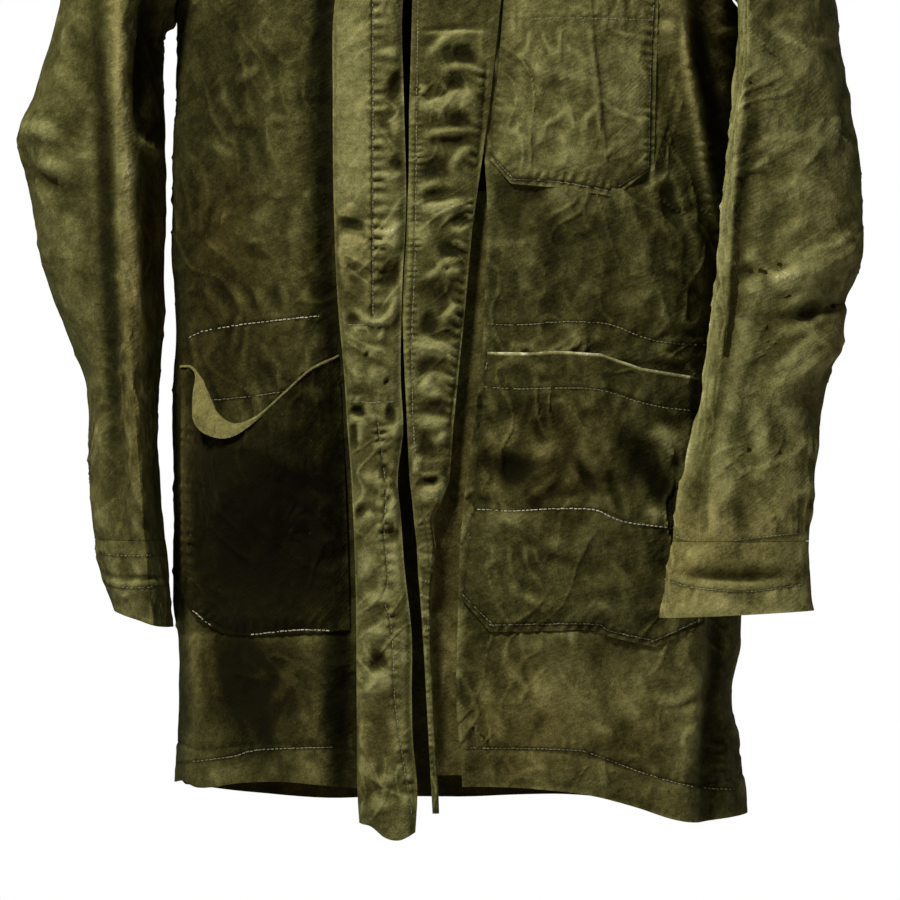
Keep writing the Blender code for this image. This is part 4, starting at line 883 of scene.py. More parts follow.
LEFT_DRAWN = {
    "base": -0.02,
    "depth": 1.30,
    "spread": 1.00,
    "rumple": 0.0014,
    "seed": 23,
    "calm": ((585, 270, 90, 60, 0, -0.45), (560, 690, 90, 60, 0, -0.35)),
    "hem": 0.030,
    "creases": (
        (((556, 200), (554, 250), (550, 316)), 13, -1.8),
        (((528, 205), (532, 250), (527, 300)), 12, 1.2),
        (((588, 290), (605, 293)), 4, 0.9),
        (((500, 215), (506, 260), (502, 316)), 8, 1.0),
        (((620, 215), (640, 250), (652, 310)), 12, 1.2),
        (((600, 212), (612, 250), (618, 306)), 10, -1.3),
        (((522, 648), (545, 645)), 4, 0.9),
        (((559, 674), (552, 688), (542, 702)), 5, 1.0),
        (((550, 702), (541, 722), (530, 745)), 6, -1.2),
        (((588, 722), (602, 730), (619, 740)), 5, 1.1),
        (((634, 708), (640, 722)), 4, 0.9),
        (((600, 655), (620, 690), (628, 735)), 10, 1.0),
        (((480, 650), (488, 700), (484, 745)), 8, 1.0),
        (((683, -20), (683, 20), (684, 60), (690, 95), (694, 120), (702, 165), (710, 205), (717, 238)),
            (4, 9), 3.2),
        (((693, -10), (696, 35), (704, 70), (713, 110), (722, 160)), 8, -3.4),
        (((662, 143), (678, 190), (694, 250), (708, 316)), (5, 9), 2.2),
        (((655, 20), (668, 27), (680, 33)), 7, 1.6),
        (((712, 3), (718, 12), (731, 13)), 4, 1.8),
        (((713, 38), (720, 33), (731, 31), (740, 37)), 4, 1.8),
        (((706, 600), (703, 660), (692, 720), (685, 760), (678, 820)), (7, 10), 1.6),
        (((716, 600), (712, 680), (704, 740), (698, 800)), 9, -2.0),
    ),
    "puckers": (
        (WAIST_LEFT, 10.0, (12, 6), 0.5, 0.15),
        (HEM_LEFT, 9.5, (7, 10), 0.5, 0.2),
        (SIDE_LEFT_HIGH, 10.5, (8, 8), 1.3, 0.0),
        (SIDE_LEFT_LOW, 12.0, (12, 12), 1.0, 0.0),
    ),
    "painted_light_shade_and_wear": ((590, 705, 120, 55, 0, 0.26), (650, 690, 50, 30, 0, 0.30), 
        (702, 60, 10, 75, 0, -0.75),
        (735, 60, 20, 90, 0, -0.75),
        (668, 27, 10, 8, 0, 0.40),
        (560, 260, 110, 66, 0, -0.12),
        (585, 700, 120, 60, 0, 0.25),
        (570, 775, 110, 16, 0, 0.20),
        (650, 800, 40, 16, 25, 0.20),
        (718, 700, 14, 110, 0, -0.45),
        (620, 60, 30, 70, 0, -0.05),
        (480, 420, 12, 90, 0, -0.45),
    ),
    "painted_shade_and_highlight_lines": (
        (WAIST_LEFT, 1.8, -0.55),
        (HEM_LEFT, 1.8, -0.60),
        (((465, 785), (570, 790), (600, 798), (640, 808), (680, 821), (718, 818), (746, 811)), (8, 2.5),
            0.35),
        (((683, -20), (684, 60), (694, 120), (710, 205), (717, 238)), 3.0, 0.50),
        (((693, 35), (703, 60), (713, 85)), 1.3, 0.60),
        (SIDE_LEFT_HIGH, 3.0, 0.35),
        (((491, 200), (489, 235), (485, 300), (483, 350), (476, 395), (470, 440), (464, 500), (458, 600),
            (458, 700), (465, 785)), 2.2, 0.35),
    ),
    "brownish_and_painted_shade_hues": ((590, 710, 130, 70, 0, 0.35), (560, 250, 80, 60, 0, -0.2), (700, 60, 20, 80, 0, 0.3)),
}

BACK_DRAWN = {"depth": 1.3, "spread": 1.0, "creases": (
    (((250, 60), (330, 110), (420, 120)), 12, 1.6),
    (((640, 70), (560, 120), (480, 125)), 12, 1.6),
    (((215, 180), (260, 260), (275, 330)), 12, 1.8),
    (((700, 180), (650, 250), (630, 330)), 12, 1.8),
    (((330, 180), (345, 250), (335, 318)), 10, -1.6),
    (((540, 170), (552, 250), (546, 318)), 10, -1.6),
    (((400, 410), (420, 520), (410, 640)), 14, 1.8),
    (((560, 420), (575, 540), (590, 660)), 14, 1.8),
    (((300, 420), (280, 540), (296, 690)), 14, -1.8),
    (((670, 430), (655, 560), (672, 700)), 14, -1.8),
    (((240, 380), (310, 440), (370, 460)), 8, 1.4),
    (((690, 372), (610, 430), (560, 440)), 8, 1.3),
    (((480, 560), (500, 640), (488, 730)), 12, 1.4),
)}
BACK_WAIST = ((165, 326), (300, 320), (450, 318), (600, 320), (735, 326))
BACK_WAIST_LOW = ((165, 400), (300, 395), (450, 392), (600, 395), (735, 400))
BACK_HEM_LINE = ((165, 770), (300, 782), (450, 784), (600, 783), (735, 786))
BACK_PUCKERS = (
    (BACK_WAIST, 11.0, (24, 14), 1.0, 0.2),
    (BACK_WAIST_LOW, 11.5, (12, 24), 1.0, -0.2),
    (BACK_HEM_LINE, 9.5, (10, 16), 0.6, 0.2),
)
BACK_TONES = ((450, 90, 260, 60, 0, 0.25), (450, 358, 280, 26, 0, -0.15), (450, 800, 280, 14, 0, 0.2))
# A painted light patch on the lower facing, where more light falls.
FACING_PAINTED_LIGHT = ((447, 690, 9, 90, 0, 0.35),)

STAND_DRAWN = {
    "base": 0.25,
    "depth": 1.10,
    "spread": 1.12,
    "rumple": 0.0009,
    "seed": 31,
    "calm": ((352, 110, 24, 130, 0, -0.65), (397, 560, 14, 35, 0, -0.7), (378, 735, 22, 38, 0, -0.7)),
    "creases": (
        (((403, 66), (396, 84), (388, 108)), 7, -3.6),
        (((388, 118), (397, 128), (406, 136)), 8, 1.8),
        (((391, 156), (397, 163), (403, 170)), 6, -2.8),
        (((347.5, 203), (358, 212)), 3, 1.4),
        (((336, 222), (352, 225), (370, 229)), (4, 7), -3.6),
        (((336, 242), (354, 243), (371, 247)), (9, 5), 2.8),
        (((334, 237), (343, 260), (351, 300)), 4, 1.4),
        (((376, 224), (392, 236), (405, 250)), 11, 2.4),
        (((403, 254), (392, 274), (380, 294)), (11, 9), -4.6),
        (((350, 300), (359, 312), (369, 321), (382, 322), (391, 315), (400, 287)), 3.6, 3.4),
        (((347, 314), (354, 320), (362, 324)), 4, -2.4),
        (((385, 326), (382, 335), (379, 344)), 3, 1.6),
        (((360, 349), (376, 350), (389, 348)), 5, 2.2),
        (((365, 353), (371, 356)), 3, -2.4),
        (((368, 372), (378, 374), (391, 370)), 6, 2.2),
        (((351, 366), (358, 376), (360, 390)), 4, 1.4),
        (((384, 380), (390, 384)), 3, -2.6),
        (((348, 409), (358, 411), (369, 416)), 5, -3.4),
        (((347.5, 413), (359, 420), (364, 431)), 3, 2.4),
        (((362, 408), (375, 412)), 4, 2.0),
        (((384, 413), (398, 412)), 6, -2.8),
        (((398, 404), (403, 420), (399, 440)), 5, 2.6),
        (((384, 426), (394, 432), (402, 440)), 5, 2.0),
        (((353, 420), (354, 436), (356, 452)), 4, -2.8),
        (((361, 420), (361, 452)), 2.5, 1.8),
        (((366, 509), (371, 516), (376, 524)), 3.5, 2.2),
        (((384, 494), (394, 502), (390, 520), (380, 527)), 4.5, 3.0),
        (((356, 507), (366, 517)), 6, -2.8),
        (((362, 470), (372, 480), (384, 476)), 5, 1.6),
        (((360, 540), (370, 560), (366, 585)), 6, 1.8),
        (((384, 522), (393, 532), (400, 545)), 6, -3.2),
        (((366, 603), (382, 598), (398, 606)), 6, 2.0),
        (((362, 628), (378, 634), (392, 630)), 6, 2.2),
        (((368, 660), (378, 660), (390, 658)), (10, 9), -4.0),
        (((366, 677), (380, 681), (394, 676)), 8, 3.0),
        (((360, 700), (364, 735), (361, 770)), 8, 1.4),
        (((392, 705), (398, 735), (400, 770)), 8, 1.6),
        (((372, 776), (386, 780), (402, 776)), 5, 1.6),
        (((368, 800), (384, 806), (400, 800)), 5, 1.4),
    ),
    "lumps": (
        (392, 53, 11, 6, 0, 2.4),
        (398, 236, 9, 10, 0, 1.6),
        (345, 620, 8, 30, 0, 0.0),
        (381, 445, 8, 5, 0, 1.6),
        (384, 469, 7, 5, 0, -2.0),
        (383, 486, 8, 5, 0, 1.8),
    ),
    "puckers": (
        (((373, -160), (373, 150), (373, 322)), 11.2, (3, 12), 2.6, 0.0),
        (((377, 415), (386, 490), (384, 530), (388, 580), (380, 600)), 11.0, (4, 8), 2.0, 0.0),
        (((385, 600), (390, 620), (393, 650), (395, 700), (403, 760), (413, 820)), 10.0, (4, 6), 1.6, 0.0),
        (((346, 325), (370, 325), (392, 324)), 9.0, (6, 4), 0.9, 0.0),
        (((346, 402), (370, 402.5), (394, 402)), 9.0, (5, 5), 0.9, 0.0),
        (((362, 792), (390, 788), (410, 790)), 9.0, (8, 6), 0.6, 0.0),
    ),
    "painted_light_shade_and_wear": (
        (353, 90, 19, 140, 0, 0.62),
        (404, 30, 5, 40, 0, -0.55),
        (396, 88, 9, 26, 12, -0.85),
        (398, 126, 9, 15, 0, 0.45),
        (397, 162, 7, 10, 0, -0.60),
        (354, 226, 18, 8, 0, -0.75),
        (354, 247, 18, 12, 0, 0.55),
        (391, 236, 16, 17, 0, 0.40),
        (391, 274, 10, 24, 28, -1.0),
        (353, 318, 9, 6, 0, -0.8),
        (366, 335, 18, 8, 0, 0.20),
        (358, 410, 12, 6, 0, -0.8),
        (391, 413, 8, 8, 0, -0.7),
        (355, 436, 5, 18, 0, -0.6),
        (397, 424, 9, 18, 0, 0.45),
        (361, 512, 7, 6, 0, -0.7),
        (397, 560, 12, 34, 0, 0.40),
        (389, 533, 9, 12, 30, -0.65),
        (378, 660, 12, 9, 0, -0.95),
        (379, 680, 14, 12, 0, 0.45),
        (378, 735, 20, 34, 0, -0.45),
        (384, 815, 26, 22, 0, -0.15),
        (341, 560, 6, 260, 0, -0.3),
    ),
    "painted_shade_and_highlight_lines": (
        (((333, -100), (333, 180), (338, 300), (347, 400), (353, 500), (358, 640), (358, 790)), 2.5, 0.35),
        (((403, 0), (404, 90), (408, 170), (402, 290), (400, 380), (404, 430), (394, 505), (404, 545),
            (412, 640), (413, 740), (420, 790)), 2.5, 0.45),
        (((374, -100), (374, 150), (374, 320)), (2, 1), -0.35),
    ),
    "brownish_and_painted_shade_hues": ((404, 40, 8, 60, 0, -0.5), (378, 735, 24, 40, 0, 0.3)),
}

FLY_DRAWN = {
    "base": 0.05,
    "depth": 1.25,
    "spread": 1.28,
    "rumple": 0.0009,
    "seed": 37,
    "calm": ((450, 10, 50, 26, 0, -0.8),),
    "creases": (
        (((410, 34), (450, 33), (492, 33)), (3, 1.6), 1.6),
        (((421, 64), (432, 52), (446, 40), (463, 36), (481, 34)), 4, 3.0),
        (((448, 58), (464, 58), (484, 60)), (6, 7), -2.2),
        (((436, 70), (458, 67), (475, 69), (486, 78)), 3.4, 2.8),
        (((442, 84), (456, 84), (472, 82)), 7, -2.3),
        (((417, 90), (430, 90)), 4, 1.8),
        (((412, 97), (429, 104), (446, 99), (458, 92), (469, 96), (482, 103)), (9, 3), 3.0),
        (((444, 122), (460, 120), (476, 118)), 7, -2.3),
        (((417, 140), (432, 134), (446, 132), (481, 130)), 3.2, 2.4),
        (((420, 143), (446, 141), (476, 141)), 4, -1.9),
        (((444, 173), (455, 162), (463, 153), (478, 143)), 4, 2.8),
        (((418, 160), (434, 166), (450, 178)), 9, -2.3),
        (((414, 192), (432, 185), (444, 179)), 3, 2.0),
        (((417, 198), (436, 195), (456, 192)), 4.5, -2.0),
        (((416, 206), (440, 207), (460, 201), (474, 202)), (8, 3), 3.0),
        (((449, 214), (460, 219), (472, 216)), 7, -2.4),
        (((447, 226), (458, 232), (467, 228), (474, 220)), 2.6, 2.0),
        (((412, 222), (420, 234), (432, 248)), 8, 1.8),
        (((436, 242), (452, 249), (468, 246)), 8, -2.4),
        (((416, 281), (435, 274), (446, 263), (468, 258)), 3.4, 2.8),
        (((435, 274), (451, 273), (466, 271)), 3, 2.0),
        (((414, 292), (440, 292), (467, 290)), 9, -2.3),
        (((440, 326), (450, 312), (458, 308), (464, 313)), 3.4, 2.6),
        (((417, 320), (428, 322), (440, 318)), 9, -2.2),
        (((441, 333), (452, 331), (464, 328)), 6, -1.9),
        (((407, 345), (421, 340), (433, 344), (446, 347), (459, 345)), (9, 4), 3.2),
        (((413, 368), (430, 368), (446, 366)), 7, -2.2),
        (((413, 399), (425, 386), (433, 374), (442, 379), (447, 389)), 4, 2.8),
        (((420, 385), (432, 390), (444, 396)), 7, 1.8),
        (((421, 408), (436, 408), (454, 404)), 6, -2.2),
        (((413, 426), (430, 422), (450, 424)), 6, 2.2),
        (((416, 442), (426, 444), (436, 441)), 8, -2.0),
        (((433, 447), (440, 440), (448, 430)), 3.4, 2.4),
        (((412, 462), (424, 466)), 6, 2.2),
        (((416, 478), (430, 475), (446, 470)), 2.4, 1.8),
        (((418, 482), (432, 482), (444, 478)), 3.6, -1.9),
        (((414, 486), (423, 483), (435, 490), (440, 483), (445, 495), (436, 508)), 4, 2.6),
    ),
    "lumps": ((430, 494, 13, 9, 0, 2.0), (432, 350, 20, 6, 0, 0.8)),
    "puckers": (
        (((418, 70), (416, 150), (414, 260)), 6.4, (6, 6), 2.0, 0.0),
        (((413, 260), (411, 340), (413, 420)), 7.0, (6, 5), 1.5, 0.0),
        (((486, 60), (480, 140), (470, 260), (460, 340), (450, 430)), 10.0, (9, 3), 1.8, 0.3),
        (((421, 505), (428, 545), (432, 600), (430, 660), (432, 720), (436, 790)), 6.5, (6, 6), 0.9, 0.0),
    ),
    "painted_light_shade_and_wear": (
        (452, 12, 52, 22, -0.35, -0.38),
        (466, 58, 21, 9, -0.35, -0.37),
        (456, 83, 18, 10, -0.35, -0.37),
        (436, 106, 24, 8, 0, 0.65),
        (461, 121, 20, 10, -0.35, -0.43),
        (447, 142, 35, 5, -0.35, -0.31),
        (434, 168, 22, 14, -0.35, -0.46),
        (438, 197, 25, 6, -0.35, -0.43),
        (440, 209, 24, 8, 0, 0.65),
        (460, 217, 16, 12, -0.35, -0.53),
        (421, 233, 14, 16, 0, 0.45),
        (452, 247, 21, 13, -0.35, -0.56),
        (441, 293, 34, 16, -0.35, -0.50),
        (429, 323, 15, 20, -0.35, -0.50),
        (452, 332, 14, 10, -0.35, -0.43),
        (432, 350, 26, 9, 0, 0.60),
        (430, 369, 19, 10, -0.35, -0.50),
        (431, 388, 14, 9, 0, 0.40),
        (438, 408, 19, 9, -0.35, -0.50),
        (432, 424, 18, 8, 0, 0.30),
        (426, 443, 12, 13, -0.35, -0.43),
        (418, 466, 6, 9, 0, 0.40),
        (430, 482, 18, 4, -0.35, -0.37),
        (430, 496, 15, 10, 0, 0.50),
        (427, 640, 9, 90, 0, 0.05),
    ),
    "painted_shade_and_highlight_lines": (
        (((415, -60), (410, 80), (409, 265), (405, 320), (407, 410), (412, 500), (421, 600), (430, 720),
            (434, 800)), 2.4, 0.40),
        (((452, 32.5), (486, 32.5)), 1.2, 0.60),
        (((490, 0), (486, 110), (474, 203), (465, 300), (453, 430), (446, 498)), 2.2, 0.25),
    ),
    "brownish_and_painted_shade_hues": ((452, 12, 50, 18, 0, -0.4),),
}

CHEST_LINE = (
    (494, -20), (492, 60), (490.4, 150), (490.6, 153), (491.5, 155), (512, 178), (513.5, 179), (516, 179.4),
    (560, 182), (609, 191), (611, 191.2), (613, 190.4), (647, 168), (648.4, 167), (648.6, 164), (651,
        60), (655, -20),
)
CHEST_DRAWN = {
    "base": 0.20,
    "depth": 1.50,
    "spread": 1.00,
    "rumple": 0.0013,
    "seed": 43,
    "calm": (),
    "creases": (
        (((589, -10), (590, 40), (597, 100), (604, 168)), (5, 2.5), 0.9),
        (((520, 60), (545, 75), (575, 70)), 9, 1.0),
        (((500, 110), (530, 120), (560, 150)), 9, 0.9),
        (((540, 120), (552, 145), (549, 172)), 8, -1.2),
        (((620, 40), (632, 80), (628, 130)), 8, 1.1),
        (((500, 30), (512, 60), (505, 95)), 7, -1.0),
    ),
    "puckers": (
        (CHEST_LINE, 9.0, (5, 10), 1.1, 0.15),
        (((500, 21), (560, 18), (650, 20)), 10.0, (10, 8), 0.6, 0.1),
        (((588, -10), (590, 40), (597, 100), (603, 165)), 11.0, (6, 8), 0.25, 0.1),
    ),
    "painted_light_shade_and_wear": (
        (570, 90, 90, 100, 0, 0.28),
        (540, 8, 40, 10, 0, 0.15),
        (520, 168, 30, 10, 25, -0.15),
        (636, 100, 16, 70, 0, 0.10),
    ),
    "painted_shade_and_highlight_lines": (
        (CHEST_LINE, 1.5, -0.55),
        (((498, -20), (488, 150), (511, 183), (560, 187), (613, 196), (653, 170), (658, 0)), 2.6, 0.45),
        (((590, -10), (592, 40), (599, 100), (606, 168)), 1.4, -0.55),
    ),
    "brownish_and_painted_shade_hues": (),
}

LOW_STITCH = (
    (487, 362), (476, 440), (466, 520), (463, 590), (463.2, 594), (464.6, 597), (491, 623), (493.5, 624.6),
    (497, 625), (590, 624), (610, 631), (650, 640), (653, 640.6), (656, 640), (696, 622), (699,
        619), (699, 612), (697, 377),
)
LOW_MOUTH_LINE = (
    (484, 387), (520, 389), (560, 388), (600, 390), (615, 393), (650, 405), (700, 412),
)
LOW_BAND_LINE = (
    (464, 508), (510, 511), (550, 509), (595, 510), (625, 522), (635, 527), (700, 531),
)
LOW_DRAWN = {
    "base": -0.16,
    "depth": 1.10,
    "spread": 1.00,
    "rumple": 0.0016,
    "seed": 47,
    "calm": ((590, 580, 90, 30, 0, -0.3),),
    "creases": (
        (((571, 452), (582, 474), (598, 498)), 4.5, -2.8),
        (((580, 446), (592, 468), (609, 494)), 6, 2.0),
        (((605, 462), (612, 490), (620, 510), (636, 530)), 5, -2.4),
        (((598, 428), (604, 456), (610, 480)), 8, 1.6),
        (((608, 430), (638, 452), (660, 488), (680, 524)), 12, -4.2),
        (((650, 424), (664, 440), (684, 462)), 8, 2.6),
        (((488, 462), (508, 466), (532, 482)), 13, -4.2),
        (((520, 490), (534, 502), (548, 508)), 8, -3.0),
        (((545, 500), (556, 484), (566, 470)), 6, -2.2),
        (((530, 462), (546, 452), (562, 440)), 9, 2.4),
        (((510, 412), (514, 428), (522, 444)), 7, 1.6),
        (((482, 398), (490, 408), (499, 416)), 4, 2.0),
        (((482, 410), (489, 421), (497, 430)), 4, -2.0),
        (((481, 426), (490, 438), (502, 450)), 4.5, 2.2),
        (((480, 442), (486, 455), (492, 468)), 4, -1.8),
        (((476, 462), (482, 476), (490, 490)), 4.5, 2.0),
        (((478, 486), (494, 492), (516, 504)), 5, 2.2),
        (((474, 492), (484, 500), (494, 508)), 3.5, -1.8),
        (((640, 508), (652, 516), (668, 528)), 7, 2.4),
        (((616, 500), (624, 514), (632, 524)), 5, 1.8),
        (((476, 540), (500, 556), (520, 590)), 10, 1.2),
        (((540, 540), (562, 548), (590, 552)), 8, 1.2),
        (((556, 560), (580, 566), (612, 560)), 8, -1.4),
        (((600, 560), (620, 580), (640, 604)), 10, 1.4),
        (((640, 556), (660, 566), (690, 566)), 8, -1.6),
        (((500, 600), (520, 596), (548, 606)), 6, 1.2),
        (((590, 602), (604, 608), (616, 620)), 4, 1.8),
    ),
    "puckers": (
        (LOW_STITCH, 11.0, (12, 6), 1.1, 0.5),
        (LOW_MOUTH_LINE, 10.5, (10, 7), 0.35, 0.1),
        (LOW_BAND_LINE, 12.0, (12, 8), 0.45, 0.2),
    ),
    "painted_light_shade_and_wear": (
        (530, 414, 34, 20, 0, -0.45),
        (508, 468, 28, 17, 20, -1.0),
        (540, 500, 22, 9, -30, -0.8),
        (645, 470, 44, 15, 52, -1.0),
        (600, 470, 40, 34, 0, -0.15),
        (546, 450, 18, 10, -35, 0.35),
        (510, 428, 8, 14, 20, 0.30),
        (668, 440, 22, 13, 40, 0.70),
        (655, 518, 18, 9, 35, 0.70),
        (584, 500, 40, 8, 0, 0.25),
        (505, 518, 26, 8, 0, 0.40),
        (560, 540, 60, 14, 0, 0.10),
        (610, 545, 50, 16, 0, -0.15),
        (680, 570, 24, 30, 0, -0.35),
        (600, 606, 24, 10, 0, 0.35),
        (520, 612, 40, 10, 0, -0.20),
    ),
    "painted_shade_and_highlight_lines": (
        (LOW_STITCH, 1.5, -0.45),
        (LOW_MOUTH_LINE, 1.6, -0.45),
        (LOW_BAND_LINE, 1.6, -0.45),
        (((483, 356), (470, 440), (460, 520), (457, 597)), 2.2, 0.40),
        (((457, 597), (490, 632), (590, 630), (655, 648), (703, 625)), 2.0, 0.20),
    ),
    "brownish_and_painted_shade_hues": ((560, 450, 90, 50, 0, 0.2),),
}

SAGGING_DRAWN = {"depth": 1.2, "spread": 1.0, "creases": (
    (((238, 440), (270, 453), (300, 466), (332, 479)), (9, 13), 3.4),
    (((300, 382), (314, 392), (328, 404)), 9, 1.4),
    (((262, 500), (250, 550), (262, 610)), 12, -1.8),
    (((300, 500), (296, 560), (306, 620)), 12, 1.6),
    (((215, 480), (222, 540), (216, 600)), 10, 1.4),
), "puckers": (
    (((186, 400), (184, 500), (186, 598)), 10.5, (5, 9), 1.3, 0.2),
    (((188, 606), (217, 628), (235, 634), (300, 628), (355, 630)), 10.0, (7, 10), 0.8, 0.2),
    (((328, 405), (315, 422), (292, 447), (262, 452)), 9.0, (7, 7), 0.7, 0.0),
)}
# Painted shade under the sagging mouth's roll, and painted highlights on its lit edges and folds.
SAGGING_PAINTED_LIGHT_AND_SHADE = (
    (268, 530, 74, 88, 0, -0.95),
    (300, 430, 34, 22, 20, 0.20),
    (314, 392, 13, 9, 0, 0.45),
    (184, 510, 9, 100, 0, 0.85),
    (318, 636, 14, 6, 0, 0.40),
    (210, 450, 12, 40, 0, -0.30),
)
# Painted highlights on the inside of the rolled mouth, which is lit from above.
MOUTH_PAINTED_HIGHLIGHT = ((222, 410, 24, 26, 0, 0.35), (250, 427, 22, 12, 0, 0.60))

RIGHT_SLEEVE_DRAWN = {
    "base": 0.12,
    "depth": 1.40,
    "spread": 1.00,
    "folds": RIGHT_SLEEVE_FOLDS,
    "rumple": 0.0010,
    "seed": 53,
    "calm": ((70, 300, 50, 240, 0, -0.3),),
    "creases": (
        (((97, -30), (101, 80), (106, 200), (113, 350), (117, 450), (124, 540)), (9, 9), -2.6),
        (((118, -30), (120, 60), (124, 140), (129, 220), (135, 340), (141, 450)), (8, 10), 2.6),
        (((146, -30), (143, 40), (140, 90), (139, 118), (146, 137), (158, 146), (168, 146)), 6, -4.2),
        (((152, -30), (150, 40), (150, 100)), 9, -3.2),
        (((132, 130), (142, 145), (156, 153), (168, 152)), 4, 1.8),
        (((150, 155), (150, 220), (148, 300)), 8, -1.8),
        (((20, 118), (40, 128), (66, 130)), 7, 1.6),
        (((18, 150), (44, 166), (84, 168)), 7, 1.5),
        (((20, 136), (46, 146), (76, 150)), 6, -1.8),
        (((30, 172), (60, 186), (92, 196)), 7, -1.4),
        (((62, 210), (80, 230), (88, 256)), 9, 1.2),
        (((46, 60), (70, 80), (88, 108)), 9, 1.2),
        (((60, 380), (72, 420), (90, 470)), 10, 1.1),
        (((88, 470), (96, 505), (108, 540)), 7, 1.2),
        (((150, 360), (158, 420), (162, 480)), 7, 1.4),
        (((160, 340), (166, 400), (169, 460)), 5, -1.8),
        (((134, 500), (142, 520), (146, 545)), 5, -1.4),
    ),
    "puckers": ((((88, 541), (130, 546), (176, 542)), 10.5, (5, 14), 0.9, 0.2),),
    "painted_light_shade_and_wear": (
        (104, 200, 8, 300, -2, -0.50),
        (128, 200, 7, 300, -4, 0.40),
        (149, 60, 16, 75, 0, -1.0),
        (156, 130, 11, 14, 0, -0.9),
        (150, 230, 11, 70, 0, -0.25),
        (88, 203, 8, 9, 0, 0.30),
        (75, 236, 16, 26, 0, 0.20),
        (60, 150, 40, 50, 0, 0.15),
        (50, 100, 40, 160, 0, -0.10),
    ),
    "painted_shade_and_highlight_lines": ((((118, -30), (120, 60), (125, 150), (131, 250), (138, 380), (144, 500)), 3.0, 0.20),
        (((88, 541), (130, 546), (176, 542)), 1.8, -0.6)),
    "brownish_and_painted_shade_hues": ((104, 200, 9, 300, -2, -0.7), (128, 200, 9, 300, -4, 0.25), (150, 230, 12, 80, 0, 0.8),
        (50, 200, 50, 300, 0, -0.35)),
}

LEFT_SLEEVE_DRAWN = {
    "base": 0.50,
    "depth": 1.40,
    "spread": 1.00,
    "folds": LEFT_SLEEVE_FOLDS,
    "rumple": 0.0012,
    "seed": 59,
    "calm": (),
    "creases": (
        (((747, -30), (736, 60), (736, 120), (732, 170), (725, 240), (720, 300), (705, 400), (682, 500),
            (677, 545)), (4, 6), 2.6),
        (((764, -30), (752, 60), (750, 130), (746, 190), (740, 240), (734, 300), (720, 400), (702, 480),
            (694, 545)), (8, 8), -2.8),
        (((740, 265), (748, 272), (758, 268)), 6, -2.4),
        (((766, 284), (785, 276), (806, 264)), 7, 3.0),
        (((790, 312), (806, 310), (824, 300)), 7, -3.0),
        (((770, 300), (788, 296), (806, 290)), 6, -2.0),
        (((776, 332), (796, 330), (820, 322)), 7, 2.0),
        (((770, 236), (790, 230), (812, 214)), 8, 1.6),
        (((712, 490), (714, 520), (716, 548)), 4, 1.6),
        (((740, 380), (756, 420), (764, 470)), 10, 1.6),
        (((770, 380), (778, 430), (776, 490)), 10, -1.5),
        (((760, 40), (772, 90), (770, 150)), 12, 1.4),
        (((796, 60), (806, 110), (804, 170)), 12, -1.4),
        (((734, 500), (742, 522), (744, 546)), 6, -1.3),
    ),
    "puckers": ((((668, 537), (690, 542), (713, 545), (740, 541), (800, 534)), 11.0, (5, 14), 0.9, 0.2),),
    "painted_light_shade_and_wear": (
        (790, 100, 50, 120, 0, 0.15),
        (786, 280, 22, 14, -20, 0.35),
        (745, 270, 10, 9, 0, -0.5),
        (805, 309, 18, 7, -15, -0.55),
        (746, 180, 7, 150, 8, -0.35),
        (705, 450, 7, 90, 12, -0.30),
        (760, 450, 40, 90, 0, 0.05),
    ),
    "painted_shade_and_highlight_lines": ((((745, -30), (733, 60), (731, 130), (724, 220), (717, 300), (703, 400), (679, 500),
        (674, 545)), 3.5, 0.45), (((668, 537), (690, 544), (713, 547), (740, 542), (800, 535)), 1.8, -0.6)),
    "brownish_and_painted_shade_hues": ((780, 250, 60, 200, 0, -0.2),),
}

RIGHT_CUFF_LOW = ((90, 582), (130, 588), (176, 584))
RIGHT_CUFF_DRAWN = {
    "base": 0.10,
    "depth": 1.30,
    "spread": 1.00,
    "folds": RIGHT_SLEEVE_FOLDS,
    "rumple": 0.0009,
    "seed": 67,
    "calm": (),
    "creases": (
        (((92, 575), (130, 583), (178, 580)), (6, 3), 1.2),
        (((92, 571), (130, 578), (178, 575)), 3, -1.2),
        (((112, 548), (118, 580), (126, 612)), 6, 1.3),
        (((142, 552), (146, 580), (150, 618)), 6, -1.4),
    ),
    "puckers": ((((88, 552), (130, 556), (178, 553)), 9.0, (10, 5), 0.7, 0.1),
        (RIGHT_CUFF_LOW, 9.0, (10, 6), 0.7, 0.1)),
    "painted_light_shade_and_wear": ((135, 585, 50, 40, 0, 0.20), (146, 585, 5, 30, 0, -0.4)),
    "painted_shade_and_highlight_lines": ((((112, 606), (150, 621), (174, 622)), 3, 0.35), (RIGHT_CUFF_LOW, 1.8, -0.6),
        (((88, 553), (130, 557), (178, 554)), 1.8, -0.4)),
    "brownish_and_painted_shade_hues": (),
}

LEFT_CUFF_LOW = ((664, 579), (690, 587), (745, 592), (800, 585))
LEFT_CUFF_DRAWN = {
    "base": 0.45,
    "depth": 1.20,
    "spread": 1.00,
    "folds": LEFT_SLEEVE_FOLDS,
    "rumple": 0.0009,
    "seed": 73,
    "calm": (),
    "creases": (
        (((665, 572), (690, 580), (745, 585), (800, 578)), (8, 3), 2.0),
        (((668, 566), (692, 574), (745, 578), (798, 571)), (4, 7), -1.6),
        (((690, 545), (694, 560), (696, 575)), 5, 1.2),
        (((720, 588), (724, 604), (722, 620)), 7, 1.0),
        (((770, 586), (772, 600), (768, 614)), 7, 1.0),
    ),
    "puckers": ((LEFT_CUFF_LOW, 10.0, (12, 4), 0.9, 0.1),),
    "painted_light_shade_and_wear": (
        (735, 604, 80, 16, 0, 0.50),
        (745, 573, 60, 9, 0, -0.55),
        (690, 555, 24, 10, 0, 0.10),
    ),
    "painted_shade_and_highlight_lines": ((((658, 616), (690, 622), (740, 619), (800, 609)), 3, 0.35), (LEFT_CUFF_LOW, 1.8, -0.5)),
    "brownish_and_painted_shade_hues": (),
}


# --- finishes -----------------------------------------------------------------------------------


